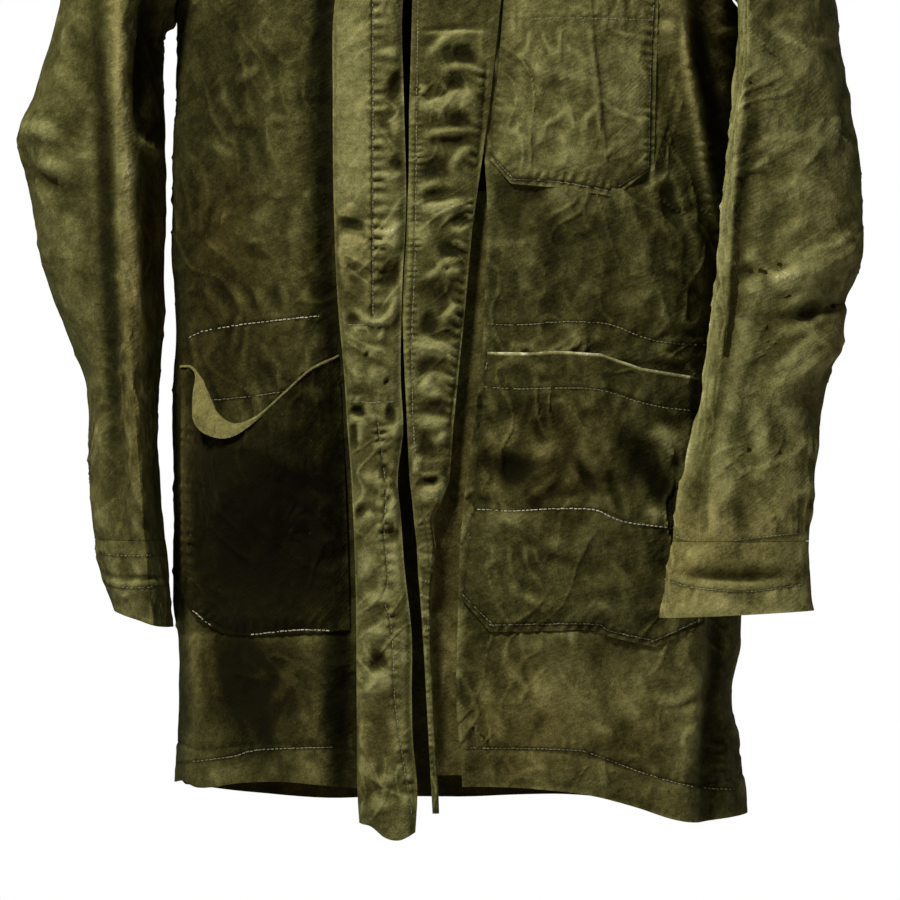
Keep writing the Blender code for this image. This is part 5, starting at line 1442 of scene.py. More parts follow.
def twill(name, light=0.0):
    """Washed olive cotton twill, faintly mottled: paler where it stands proud and darker in its hollows, as
    wear and painted light and shade.
    """
    material = bpy.data.materials.new(name)
    material.use_nodes = True
    tree = material.node_tree
    shader = tree.nodes["Principled BSDF"]
    new = tree.nodes.new
    link = tree.links.new

    def texture(kind, source, scale, detail, **settings):
        node = new("ShaderNodeTexNoise")
        node.noise_type = kind
        node.inputs["Scale"].default_value = scale
        node.inputs["Detail"].default_value = detail
        for key, value in settings.items():
            node.inputs[key].default_value = value
        link(source, node.inputs["Vector"])
        return node.outputs["Fac"]

    def sums(kind, first, second, third=None):
        node = new("ShaderNodeMath")
        node.operation = kind
        for number, value in enumerate((first, second, third)):
            if isinstance(value, float):
                node.inputs[number].default_value = value
            elif value is not None:
                link(value, node.inputs[number])
        return node.outputs["Value"]

    place = new("ShaderNodeTexCoord").outputs["Object"]
    tone = new("ShaderNodeAttribute")
    tone.attribute_name = "tone"
    hue = new("ShaderNodeAttribute")
    hue.attribute_name = "hue"
    blotch = texture("FBM", place, 34.0, 3.0, Roughness=0.6)
    mottle = texture("FBM", place, 190.0, 4.0, Roughness=0.75)
    grain = texture("FBM", place, 900.0, 3.0, Roughness=0.8)

    # light lifts the whole of a piece's cloth, as painted light for pieces that more light falls on.
    shade = sums("MULTIPLY_ADD", tone.outputs["Fac"], TONE_SHARE, SHADE_MIDDLE + light)
    for fade, share in ((blotch, BLOTCHES), (mottle, MOTTLING), (grain, GRAIN)):
        shade = sums("ADD", shade, sums("MULTIPLY_ADD", fade, share, -share / 2))
    ramp = new("ShaderNodeValToRGB")
    link(shade, ramp.inputs["Fac"])
    stops = ramp.color_ramp.elements
    stops[0].color = (*DEEPEST, 1)
    stops[0].position = 0.02
    stops[1].color = (*PALEST_FADED_AND_HIGHLIT, 1)
    stops[1].position = 1.0
    for position, colour in OLIVES:
        stop = stops.new(position)
        stop.color = (*colour, 1)
    tint = new("ShaderNodeMix")
    tint.data_type = "RGBA"
    tint.blend_type = "MULTIPLY"
    tint.inputs["B"].default_value = (*BROWN_STAIN_AND_SHADE_TINT, 1)
    link(ramp.outputs["Color"], tint.inputs["A"])
    drift = texture("FBM", place, 7.0, 2.0)
    warmth = sums("ADD", hue.outputs["Fac"], sums("MULTIPLY_ADD", drift, 1.3, -0.60))
    clamp = new("ShaderNodeClamp")
    link(warmth, clamp.inputs["Value"])
    link(clamp.outputs["Result"], tint.inputs["Factor"])
    link(tint.outputs["Result"], shader.inputs["Base Color"])

    threads = new("ShaderNodeUVMap")
    threads.uv_map = "weave"
    turned = new("ShaderNodeMapping")
    turned.inputs["Rotation"].default_value = (0, 0, np.radians(TWILL_SLANT))
    link(threads.outputs["UV"], turned.inputs["Vector"])
    lines = new("ShaderNodeTexWave")
    lines.inputs["Scale"].default_value = 1 / (TWILL_PITCH * FULL_TURN) * 0.5
    lines.inputs["Distortion"].default_value = 0.6
    link(turned.outputs["Vector"], lines.inputs["Vector"])
    wander = new("ShaderNodeTexNoise")
    wander.inputs["Scale"].default_value = 26.0
    link(place, wander.inputs["Vector"])
    shifted = new("ShaderNodeVectorMath")
    shifted.operation = "MULTIPLY_ADD"
    link(wander.outputs["Color"], shifted.inputs[0])
    shifted.inputs[1].default_value = (CRACKLE_WANDER,) * 3
    link(place, shifted.inputs[2])

    def crackle(scale):
        cells = new("ShaderNodeTexVoronoi")
        cells.inputs["Scale"].default_value = scale
        link(shifted.outputs["Vector"], cells.inputs["Vector"])
        return cells.outputs["Distance"]

    here = sums("MULTIPLY_ADD", texture("FBM", place, 15.0, 2.0), 3.2, -1.0)
    worked = new("ShaderNodeClamp")
    link(here, worked.inputs["Value"])
    crumple = sums("MULTIPLY", crackle(CRUMPLE_SCALE), worked.outputs["Result"])
    crinkle = sums("MULTIPLY", crackle(CRINKLE_SCALE), worked.outputs["Result"])
    creping = texture("FBM", place, 210.0, 3.0, Roughness=0.65)
    bent = None
    heights = (
        (crumple, CRUMPLE),
        (crinkle, CRINKLE),
        (creping, CREPING),
        (grain, NAP),
        (lines.outputs["Fac"], TWILL_HIGH),
    )
    for height, distance in heights:
        bump = new("ShaderNodeBump")
        bump.inputs["Distance"].default_value = distance
        bump.inputs["Strength"].default_value = 1.0
        link(height, bump.inputs["Height"])
        if bent:
            link(bent, bump.inputs["Normal"])
        bent = bump.outputs["Normal"]
    link(bent, shader.inputs["Normal"])
    link(sums("MULTIPLY_ADD", mottle, 0.16, 0.78), shader.inputs["Roughness"])
    shader.inputs["Specular IOR Level"].default_value = 0.08
    shader.inputs["Specular Tint"].default_value = (0.95, 0.88, 0.50, 1)
    shader.inputs["Sheen Weight"].default_value = 0.02
    shader.inputs["Sheen Roughness"].default_value = 0.45
    shader.inputs["Sheen Tint"].default_value = (0.60, 0.57, 0.25, 1)
    return material


DEEPEST = (0.0040, 0.0033, 0.0006)
# The palest colour: for faded cloth, raw edges and painted highlights.
PALEST_FADED_AND_HIGHLIT = (0.560, 0.540, 0.330)
# A warm brown tint laid on by the hue: for brownish stains and for painted warm casts in shade.
BROWN_STAIN_AND_SHADE_TINT = (1.16, 0.92, 0.78)
TONE_SHARE = 0.30  # of the way from the darkest colour to the palest, for a tone of 1
SHADE_MIDDLE = 0.43
CRACKLE_WANDER = 0.030
CRUMPLE_SCALE = 34.0
CRINKLE_SCALE = 88.0
TWILL_SLANT = 63  # degrees
BLOTCHES = 0.44
MOTTLING = 0.42
GRAIN = 0.55
TWILL_PITCH = 0.0009
TWILL_HIGH = 0.00006
CRUMPLE = 0.0042
CRINKLE = 0.0013
CREPING = 0.0008
NAP = 0.00022
OLIVES = (
    (0.20, (0.0110, 0.0096, 0.0020)),
    (0.38, (0.0350, 0.0316, 0.0080)),
    (0.55, (0.0830, 0.0765, 0.0235)),
    (0.75, (0.1900, 0.1780, 0.0640)),
    (0.90, (0.2750, 0.2580, 0.1040)),
)


# --- the fronts and the back --------------------------------------------------------------------

FRONT_ROWS = 345
YOKE_ROWS = 60
RIGHT_COLUMNS = 130
LEFT_COLUMNS = 139
BACK_COLUMNS = 204
BACK_ROWS = 189
BACK_YOKE_ROWS = 48
NECK_CORNER = 0.6  # the share of the armhole's height at which a front's edge meets the neckline


def neckline(angle):
    """A point of the neckline, in radians round from centre front."""
    x = NECK_HALF * np.sin(angle)
    near = np.cos(angle)
    z = NECK_POINT_Z - np.where(near > 0, FRONT_NECK_DROP, BACK_NECK_DROP) * np.abs(near)
    return x, z


def armhole(rise, side, edge):
    """The armhole's edge in turn and height; side is -1 on the wearer's right."""
    seam = read(SIDE_SEAM, "left" if side > 0 else "right", UNDERARM_Z)
    degrees = read(ARMHOLE, edge, rise, key="rise")
    lean = (abs(seam) - 90) * ease(1 - rise / 0.3)
    if edge == "front":
        turn = side * np.radians(degrees + lean)
    else:
        turn = np.pi - side * np.radians(degrees - lean)
    tip_z = shoulder_z(SHOULDER_TIP_X)
    return turn, UNDERARM_Z + (tip_z - UNDERARM_Z) * rise


def blend_patch(low, high, first, last, share):
    """A patch in turn and height between four edges, each an array of (turn, z)."""
    v = np.linspace(0, 1, len(first))[:, None, None]
    u = share[None, :, None]
    sides = (1 - u) * first[:, None] + u * last[:, None]
    ends = (1 - v) * low[None] + v * high[None]
    corners = (1 - v) * ((1 - u) * low[0] + u * low[-1]) + v * ((1 - u) * high[0] + u * high[-1])
    return sides + ends - corners


def pairs(turn, z):
    return np.stack(np.broadcast_arrays(turn, z), axis=-1)


def front_grid(side, edge_x, columns):
    """The turns and heights of a front's points, from hem to shoulder, its columns with the turn."""
    u = np.linspace(0, 1, columns)[None, :]
    level = np.linspace(0, 1, FRONT_ROWS, endpoint=False)[:, None]
    seam_name = "left" if side > 0 else "right"

    def turns(z):
        inner = arc_of(turn_at(edge_x(z), z))
        outer = arc_of(np.radians(read(SIDE_SEAM, seam_name, z))) - side * SEAM_GAP / 2
        return turn_of(inner + (outer - inner) * u)

    z = -0.88 * (1 - level) + UNDERARM_Z * level + 0 * u
    for _ in range(3):
        turn = turns(z)
        hem = read(FRONT_HEM, "z", torso(turn, z)[..., 0], key="x")
        z = hem * (1 - level) + UNDERARM_Z * level
    low = pairs(turns(z), z)
    under_z = np.full((1, columns), UNDERARM_Z)
    under = pairs(turns(under_z), under_z)[0]
    share = u[0]

    neck_x = LEFT_NECK_X if side > 0 else RIGHT_NECK_X
    start = np.arcsin(abs(neck_x) / NECK_HALF)
    corner_z = NECK_POINT_Z - FRONT_NECK_DROP * np.cos(start)
    corner_row = round(NECK_CORNER * YOKE_ROWS)
    straight_z = np.linspace(UNDERARM_Z, corner_z, corner_row + 1)
    straight_x = edge_x(straight_z)
    straight_x[-1] = neck_x
    neck_xs, neck_zs = neckline(np.linspace(start, np.pi / 2, YOKE_ROWS - corner_row + 1)[1:])
    inner_x = np.concatenate([straight_x, side * neck_xs])
    inner_z = np.concatenate([straight_z, neck_zs])
    inner = pairs(turn_at(inner_x, inner_z), inner_z)
    outer = pairs(*armhole(np.linspace(0, 1, YOKE_ROWS + 1), side, "front"))
    outer[0] = under[-1]
    seam_x = side * (NECK_HALF + (SHOULDER_TIP_X - NECK_HALF) * share)
    top = pairs(turn_at(seam_x, shoulder_z(seam_x)), shoulder_z(seam_x))
    top[0] = inner[-1]
    grid = np.concatenate([low, blend_patch(under, top, inner, outer, share)])
    if side < 0:
        grid = grid[:, ::-1]
    return grid[..., 0], grid[..., 1]


BACK_HEM_DEEP = 0.030
HEM_STEP = 0.0007  # the height of the turned-up layer
HEM_LINE = 0.0012  # the half width of its stitched line


def hem_band(z_from_hem, deep):
    """The turned-up hem: a second layer, its edge pressed through along the stitches."""
    from_line = (z_from_hem - deep) / HEM_LINE
    return HEM_STEP * ease(-from_line / 2 + 0.5) - HEM_STEP * np.exp(-(from_line**2))


def front(side, name, edge_x, columns, drawn, covered, slot, material, flat, area):
    """A front in one piece, with its folds, wrinkles, seams, wear and painted light and shade."""
    turn, z = front_grid(side, edge_x, columns)
    plain = torso(turn, z)
    normal = torso_normal(turn, z)
    lift = front_lift(turn, z, side)
    points = plain + normal * lift[..., None]
    x, y = seen(points)
    at_seam = ease(from_seam(turn, z, side) / 0.014)
    small = rumple(x, y, drawn["rumple"], drawn["seed"])
    small = small * (1 + patches(drawn["calm"], x, y))
    hem = z - read(FRONT_HEM, "z", plain[..., 0], key="x")
    small = small * (0.35 + 0.65 * ease(hem / 0.030)) + hem_band(hem, drawn["hem"])
    fine = small + creases(drawn, x, y) + puckers(drawn["puckers"], x, y)
    bare = 1 - covered(plain[..., 0], z)
    fine = fine * bare * at_seam * ease((shoulder_z(plain[..., 0]) - z) / 0.010) - 0.0010 * (1 - bare)
    points = points + normal * fine[..., None]
    points[-1, :, 1] -= SEAM_GAP / 2
    # Tone: wear and painted light and shade over the folds and wrinkles, the piece's painted light level,
    # painted light and shade patches, and painted shade and highlight lines along seams and edges; hue:
    # brownish stains and painted warm casts; inner face: painted shade and a painted reddish cast.
    tone = FINE_WEAR_AND_SHADE * wear_and_painted_shade(fine, 4, FINE_FULL) + 0.30 * wear_and_painted_shade(lift + fine, 14, 0.0025)
    tone = tone + drawn["base"] + patches(drawn["painted_light_shade_and_wear"], x, y)
    tone = tone + strokes(drawn["painted_shade_and_highlight_lines"], x, y, tapered=0.08)
    hue = patches(drawn["brownish_and_painted_shade_hues"], x, y)
    piece = cloth("cloth_" + name, points, {"tone": (tone, INSIDE_PAINTED_SHADE), "hue": (hue, INSIDE_PAINTED_WARMTH)})
    return finish(piece, material)


def under_right_pocket(x, z):
    """Where the right pocket lies on its front, below its open mouth."""
    low = ease((z + 0.752) / 0.006) * ease((-0.606 - z) / 0.020)
    return low * ease((x + 0.2240) / 0.004) * ease((-0.0840 - x) / 0.004)


def under_left_pockets(x, z):
    chest = ease((z + 0.3900) / 0.006) * ease((x - 0.032) / 0.006) * ease((0.160 - x) / 0.006)
    corner = ease((x - 0.030 + (z + 0.366)) / 0.004)
    low = ease((z + 0.748) / 0.006) * ease((-0.5260 - z) / 0.005)
    low = low * ease((x - read(LEFT_POCKET, "left", z)) / 0.005) * ease((0.193 - x) / 0.006)
    return np.maximum(chest * corner, low)


def back(slot, material):
    """The back in one piece, from the left side seam round to the right one."""
    steps = np.linspace(0, 1, BACK_COLUMNS + 1)
    u = steps[None, :]
    level = np.linspace(0, 1, BACK_ROWS, endpoint=False)[:, None]

    def turns(z):
        left = arc_of(np.radians(read(SIDE_SEAM, "left", z))) + SEAM_GAP / 2
        right = arc_of(np.radians(read(SIDE_SEAM, "right", z)) + FULL_TURN) - SEAM_GAP / 2
        return turn_of(left + (right - left) * u)

    z = -0.89 * (1 - level) + UNDERARM_Z * level + 0 * u
    for _ in range(3):
        x = torso(turns(z), z)[..., 0]
        hem = read(BACK_HEM, "z", x, key="x")
        at_corner = np.maximum(ease(1 - u / 0.04), ease(1 - (1 - u) / 0.04))
        hem = hem + (read(FRONT_HEM, "z", x, key="x") - hem) * at_corner
        z = hem * (1 - level) + UNDERARM_Z * level
    low = pairs(turns(z), z)
    under_z = np.full((1, BACK_COLUMNS + 1), UNDERARM_Z)
    under = pairs(turns(under_z), under_z)[0]
    rise = np.linspace(0, 1, BACK_YOKE_ROWS + 1)
    left = pairs(*armhole(rise, 1, "back"))
    right = pairs(*armhole(rise, -1, "back"))
    left[0] = under[0]
    right[0] = under[-1]
    third = BACK_COLUMNS // 3
    shoulder = np.linspace(SHOULDER_TIP_X, NECK_HALF, third + 1)
    neck_x, neck_z = neckline(np.linspace(np.pi / 2, 3 * np.pi / 2, third + 1)[1:-1])
    top_x = np.concatenate([shoulder, neck_x, -shoulder[::-1]])
    top_z = np.concatenate([shoulder_z(shoulder), neck_z, shoulder_z(shoulder[::-1])])
    top = pairs(turn_at(top_x, top_z, "back"), top_z)
    top[0] = left[-1]
    top[-1] = right[-1]
    grid = np.concatenate([low, blend_patch(under, top, left, right, steps)])
    turn = grid[..., 0]
    z = grid[..., 1]
    plain = torso(turn, z)
    normal = torso_normal(turn, z)
    aside = np.minimum(u, 1 - u)
    below_top = shoulder_z(plain[..., 0]) - z
    lift = folds(BACK_FOLDS, plain[..., 0], z) * ease(aside / 0.08) * ease(below_top / 0.060)
    x, y = seen_from_behind(plain)
    hem = z - read(BACK_HEM, "z", plain[..., 0], key="x")
    fine = rumple(x, y, 0.0009, 301) * (0.35 + 0.65 * ease(hem / 0.030)) + hem_band(hem, BACK_HEM_DEEP)
    fine = fine + creases(BACK_DRAWN, x, y) + puckers(BACK_PUCKERS, x, y)
    fine = fine * ease(aside / 0.02) * ease(below_top / 0.010)
    points = plain + normal * (lift + fine)[..., None]
    points[-1, :, 1] += SEAM_GAP / 2
    # Tone: wear and painted light and shade over the folds and wrinkles, with broad lighter and darker
    # bands; the inner face gets painted shade and a painted reddish cast.
    tone = 0.3 * wear_and_painted_shade(fine, 3, 0.00070) + 0.4 * wear_and_painted_shade(lift + fine, 8, 0.0025)
    tone = tone + patches(BACK_TONES, x, y)
    piece = cloth("cloth_back", points, {"tone": (tone, -0.9), "hue": (0 * tone, 0.7)})
    return finish(piece, material)


# --- the front opening --------------------------------------------------------------------------

# The palest a strip's tone may go, capping its painted highlights and fading.
STRIP_TONE_CAP = 1.05
# The inner face of the right pocket's rolled mouth: painted light, as it is lit from above.
POCKET_INSIDE_PAINTED_LIGHT = 0.65
STRIP_ROWS = 609
COLLAR_Z = -0.090  # the collar hides the opening above this
FLY_LOW_Z = -0.890
STRIP_COLUMNS = 48


def neck_top(x):
    """Where the strips of the opening end under the collar."""
    return neckline(np.arcsin(np.clip(np.abs(x) / NECK_HALF, 0, 1)))[1] - 0.0006


def stand_off(across, z):
    """The button stand's height over the plain wall: a rounded fold, a flat face, a soft edge."""
    face = 0.0010 + 0.0070 * ease(across / 0.10) - 0.0035 * ease((across - 0.86) / 0.14)
    return 0.0030 + (face - 0.0030) * ease((COLLAR_Z - z) / 0.060)


def strip(name, x_of, low, top_z, off, drawn, material):
    """One of the two long strips of the opening, crumpled all down its length."""
    across = np.linspace(0, 1, STRIP_COLUMNS + 1)
    share = np.linspace(0, 1, STRIP_ROWS + 1)[:, None]
    z = low + (top_z - low) * share + 0 * across
    for _ in range(3):
        x = x_of(across, z)
        z = low + (neck_top(x[-1]) - low) * share
    x = x_of(across, z)
    turn = turn_at(x, z)
    plain = torso(turn, z)
    lift = off(across + 0 * z, z)
    px, py = seen(plain - np.array([0, 1, 0]) * lift[..., None])
    fine = creases(drawn, px, py) + MM * patches(drawn["lumps"], px, py)
    fine = fine + rumple(px, py, drawn["rumple"], drawn["seed"], 1.2) * (1 + patches(drawn["calm"], px, py))
    fine = fine + puckers(drawn["puckers"], px, py)
    hem = (z - low) / 0.012
    quiet = ease((COLLAR_Z - z) / 0.080) * (0.3 + 0.7 * ease(hem))
    edges = 0.30 + 0.70 * ease(across / 0.10) * ease((1 - across) / 0.10)
    fine = fine * quiet * edges
    fine = np.maximum(fine, -0.0052 * edges)
    points = plain + torso_normal(turn, z) * (lift + fine)[..., None]
    # Tone: the strip's painted light level, wear and painted light and shade over its wrinkles, painted
    # light and shade patches with the light ones weighed double, and painted shade and highlight lines,
    # capped at its palest; hue: brownish stains and painted warm casts; inner face: painted shade and a
    # painted reddish cast.
    tone = drawn["base"] + 0.50 * wear_and_painted_shade(fine, 5, 0.0009) + 0.30 * wear_and_painted_shade(fine, 14, 0.0018)
    shades = patches(drawn["painted_light_shade_and_wear"], px, py)
    tone = tone + np.where(shades > 0, 0.9, 0.45) * shades
    tone = np.clip(tone + strokes(drawn["painted_shade_and_highlight_lines"], px, py, tapered=0.1), -1.6, STRIP_TONE_CAP)
    hue = patches(drawn["brownish_and_painted_shade_hues"], px, py)
    piece = cloth("cloth_" + name, points, {"tone": (tone, -0.6), "hue": (hue, 0.5)})
    return finish(piece, material)


def stand_x(across, z):
    return read(STAND, "fold", z) * (1 - across) + read(STAND, "edge", z) * across


def fly_x(across, z):
    edge = read(FLY, "edge", z, smooth=False)
    return edge * (1 - across) + read(FLY, "seam", z, smooth=False) * across


def fly_off(across, z):
    face = 0.0035 + 0.0030 * ease(across / 0.15) - 0.0037 * ease((across - 0.80) / 0.20)
    face = face - 0.0008 * np.sin(np.pi * across) * ease((z - FLY_STRIP_Z) / 0.015)
    return 0.0028 + (face - 0.0028) * ease((COLLAR_Z - z) / 0.060)


def facing(material):
    """The layer behind the fold of the left front, which carries the fly's lower edge."""
    across = np.linspace(0, 1, 25)[None, :]
    z = np.linspace(FACING_END_Z, FACING_TOP_Z, 121)[:, None] + 0 * across
    right = read(LEFT_EDGE, "x", z) + 0.006
    x = read(FACING_LEFT, "x", z) * (1 - across) + right * across
    under = front_lift(turn_at(right, z), z, 1) - 0.0030
    lift = 0.0004 * (1 - across) + under * across - 0.0080 * np.sin(np.pi * across)
    turn = turn_at(x, z)
    plain = torso(turn, z)
    px, py = seen(plain)
    lift = lift + rumple(px, py, 0.0006, 91) * ease((1 - across) / 0.3)
    points = plain + torso_normal(turn, z) * lift[..., None]
    # Tone: wear and painted shade on the small wrinkles and a painted light patch low down; hue: an even
    # painted warm cast; inner face: painted shade and a painted reddish cast.
    tone = 0.10 + 0.4 * wear_and_painted_shade(lift, 3, 0.0008) + patches(FACING_PAINTED_LIGHT, px, py)
    piece = cloth("cloth_left_facing", points, {"tone": (tone, INSIDE_PAINTED_SHADE), "hue": (0.4 + 0 * tone, 0.6)})
    return finish(piece, material)


# --- pockets ------------------------------------------------------------------------------------

POCKET_OVER = 0.0015  # from a front's middle to a pocket's, along its stitched edges
POCKET_FULL = 0.0022  # and further inside them
RAW_EDGE = 2.0  # how pale the cut edge of a mouth is


def patch_pocket(name, outline, columns, rows, drawn, material):
    """A closed pocket that lies on the left front."""
    corners, bottom, mouth = outline
    u = np.linspace(0, 1, columns + 1)
    v = np.linspace(0, 1, rows + 1)[:, None]
    ends = []
    for level, line in ((0, bottom), (-1, mouth)):
        low_z = corners["z"][level]
        arcs = arc_of(turn_at(np.array([corners["left"][level], corners["right"][level]]), low_z))
        x = torso(turn_of(arcs[0] + (arcs[1] - arcs[0]) * u), np.full(len(u), low_z))[:, 0]
        ends.append((x, read(line, "z", x, key="x", smooth=False)))
    x = ends[0][0] * (1 - v) + ends[1][0] * v
    z = ends[0][1] * (1 - v) + ends[1][1] * v
    turn = turn_at(x, z)
    plain = torso(turn, z)
    px, py = seen(plain)
    tall = np.ptp(z, axis=0)[None, :]
    wide = np.ptp(x, axis=1)[:, None]
    inside = ease(np.minimum(u, 1 - u)[None, :] * wide / 0.011) * ease(v * tall / 0.009)
    belly = POCKET_BELLY * np.sin(np.pi * u) * np.sin(np.pi * np.clip(v * 0.75, 0, 1))
    off = POCKET_OVER + (POCKET_FULL + belly) * inside
    fine = rumple(px, py, drawn["rumple"], drawn["seed"]) * (1 + patches(drawn["calm"], px, py))
    fine = fine + creases(drawn, px, py)
    fine = fine * (0.10 + 0.90 * inside) + puckers(drawn["puckers"], px, py)
    off = np.maximum(off + fine, 0.0011 + 0.0006 * inside)
    normal = torso_normal(turn, z)
    points = plain + normal * (front_lift(turn, z, 1) + off)[..., None]
    # Tone: wear and painted light and shade over the wrinkles and the pocket's swell, the pocket's painted
    # light level, painted light and shade patches, painted shade and highlight lines, and the pale raw edge
    # of its mouth; hue: brownish stains and painted warm casts; inner face: painted shade and a painted
    # reddish cast.
    tone = FINE_WEAR_AND_SHADE * wear_and_painted_shade(fine, 4, FINE_FULL) + 0.25 * wear_and_painted_shade(off, 14, 0.0022)
    tone = tone + drawn["base"] + patches(drawn["painted_light_shade_and_wear"], px, py)
    tone = tone + strokes(drawn["painted_shade_and_highlight_lines"], px, py, tapered=0.05) + RAW_EDGE * ease((v - 0.988) / 0.008)
    hue = patches(drawn["brownish_and_painted_shade_hues"], px, py)
    piece = cloth("cloth_" + name, points, {"tone": (tone, -0.5), "hue": (hue, 0.4)})
    return finish(piece, material)


ROLL_FROM = 0.86  # the share of the right pocket's cloth below the crest of its rolled mouth
MOUTH_ROLL = table(  # from the crest of the roll to its raw edge
    "across dx dz",
    (0.00, 0.0000, -0.0015),
    (0.10, 0.0000, -0.0015),
    (0.20, -0.0010, -0.0018),
    (0.30, -0.0060, -0.0100),
    (0.40, -0.0080, -0.0170),
    (0.50, -0.0030, -0.0170),
    (0.60, -0.0015, -0.0105),
    (0.70, -0.0010, -0.0040),
    (0.80, 0.0000, -0.0018),
    (1.00, 0.0000, -0.0015),
)


def sagging_pocket(material):
    """The right lower pocket, whose raw mouth rolls over and hangs forward in a U."""
    u = np.linspace(0, 1, 127)
    v = np.linspace(0, 1, 151)[:, None]
    outer, inner = RIGHT_POCKET_CORNERS
    foot_z = RIGHT_POCKET_BOTTOM["z"].mean()
    arcs = arc_of(turn_at(np.array([outer, inner]), foot_z))
    low_x = torso(turn_of(arcs[0] + (arcs[1] - arcs[0]) * u), np.full(len(u), foot_z))[:, 0]
    low_z = read(RIGHT_POCKET_BOTTOM, "z", u, key="across", smooth=False)
    down = read(MOUTH_ROLL, "dz", u, key="across")
    aside = read(MOUTH_ROLL, "dx", u, key="across")
    forward = 0.0008 + 0.35 * np.hypot(down, aside)
    high_x = read(SAGGING_MOUTH, "x", u, key="across") - aside
    high_z = read(SAGGING_MOUTH, "z", u, key="across") - down
    away = np.maximum(read(SAGGING_MOUTH, "off", u, key="across") - forward, 0)
    rise = np.clip(v / ROLL_FROM, 0, 1)
    over = np.clip((v - ROLL_FROM) / (1 - ROLL_FROM), 0, 1)
    x = low_x * (1 - rise**1.4) + high_x * rise**1.4 + aside * over**2
    z = low_z * (1 - rise) + high_z * rise + down * over**2
    belly = 0.0040 * np.sin(np.pi * u) * np.sin(np.pi * rise)
    edge = np.minimum(u, 1 - u)[None, :]
    inside = ease(edge / 0.08) * ease(v / 0.07)
    off = POCKET_OVER + 0.0022 * inside + away * ease((rise - 0.18) / 0.62) + belly * inside
    off = off + forward * (1 - (1 - over) ** 2)
    turn = turn_at(x, z)
    plain = torso(turn, z)
    normal = torso_normal(turn, z)
    lift = front_lift(turn, z, -1)
    px, py = seen(plain + normal * off[..., None])
    on_face = ease((1 - over) / 0.4)
    fine = rumple(px, py, 0.0013, 61) + creases(SAGGING_DRAWN, px, py) * on_face
    fine = fine * (0.10 + 0.90 * inside) * (0.3 + 0.7 * on_face)
    fine = fine + puckers(SAGGING_DRAWN["puckers"], px, py) * on_face
    off = np.maximum(off + fine, 0.0011)
    points = plain + normal * (lift + off)[..., None]
    # Tone: wear and painted shade on the small wrinkles, and painted shade over the pocket's face below its
    # rolled mouth, deepest in its middle, with painted light and shade patches there and painted highlights
    # on the roll; the raw edge is pale; hue: a painted warm cast on the shaded face; inner face: painted
    # light.
    tone = FINE_WEAR_AND_SHADE * wear_and_painted_shade(fine, 4, FINE_FULL) - (0.50 + 0.45 * ease(edge / 0.10)) * on_face
    tone = tone + patches(SAGGING_PAINTED_LIGHT_AND_SHADE, px, py) * on_face + patches(MOUTH_PAINTED_HIGHLIGHT, px, py) * (1 - on_face)
    tone = tone + RAW_EDGE * ease((v - 0.985) / 0.008)
    hue = 0.25 * on_face + 0 * tone
    piece = cloth("cloth_right_lower_pocket", points, {"tone": (tone, POCKET_INSIDE_PAINTED_LIGHT), "hue": (hue, 0.1)})
    return finish(piece, material)


# --- sleeves and cuffs --------------------------------------------------------------------------

ROUND_COLUMNS = 144
CAP_ROWS = 70
SLEEVE_ROWS = 186
QUARTER_UNITS = 95  # a quarter of a sleeve's girth, in frame units
LEFT_TURNED = -0.4
RIGHT_CUT = (RIGHT_SLEEVE, RIGHT_BULGES, 0)
LEFT_CUT = (LEFT_SLEEVE, LEFT_BULGES, LEFT_TURNED)


def sleeve_around(turned):
    """Each column's place round a section: 0 inner side, 1 front crease, 2 outer side, 3 back."""
    return (np.arange(ROUND_COLUMNS) / (ROUND_COLUMNS / 4) + turned) % 4


def sleeve_points(cut, z):
    """Points of a sleeve's wall at the heights z, one row of columns at a time."""
    rows, bulges, turned = cut
    inner, outer, front, back, crease, inner_y = (
        read(rows, name, z) for name in "inner outer front back crease inner_y".split()
    )
    corners = np.stack(
        [
            np.stack([inner, inner_y], -1),
            np.stack([crease, front], -1),
            np.stack([outer, 0.5 * (front + back)], -1),
            np.stack([(inner + outer) / 2, back], -1),
            np.stack([inner, inner_y], -1),
        ]
    )
    around = sleeve_around(turned)
    quarter = np.floor(around).astype(int)
    t = around - quarter
    swing = t * np.pi / 2
    upright = quarter % 2 == 0
    share_x = np.where(upright, 1 - np.cos(swing), np.sin(swing))
    share_y = np.where(upright, np.sin(swing), 1 - np.cos(swing))
    bulge = np.array(bulges)[quarter][:, None]
    share = bulge * np.stack([share_x, share_y], axis=-1) + (1 - bulge) * t[:, None]
    column = np.arange(ROUND_COLUMNS)
    first = corners[quarter, :, column].transpose(1, 0, 2)
    last = corners[quarter + 1, :, column].transpose(1, 0, 2)
    return np.concatenate([first + (last - first) * share, z[..., None]], axis=-1)


def sleeve_lift(rows, around, z):
    """The height of a sleeve's folds, by place round it and by height."""
    high = 0 * around
    names = "around0 z0 around1 z1 wide high".split()
    for a0, z0, a1, z1, wide, tall in zip(*(rows[k] for k in names)):
        t = np.clip((z - z0) / (z1 - z0), 0, 1)
        beyond = np.maximum(np.maximum(z - z0, z1 - z), 0) / (0.25 * abs(z1 - z0) + 0.012)
        off = (around - a0 - (a1 - a0) * t + 2) % 4 - 2
        high = high + tall * np.exp(-((off / wide) ** 2) - beyond**2)
    return high


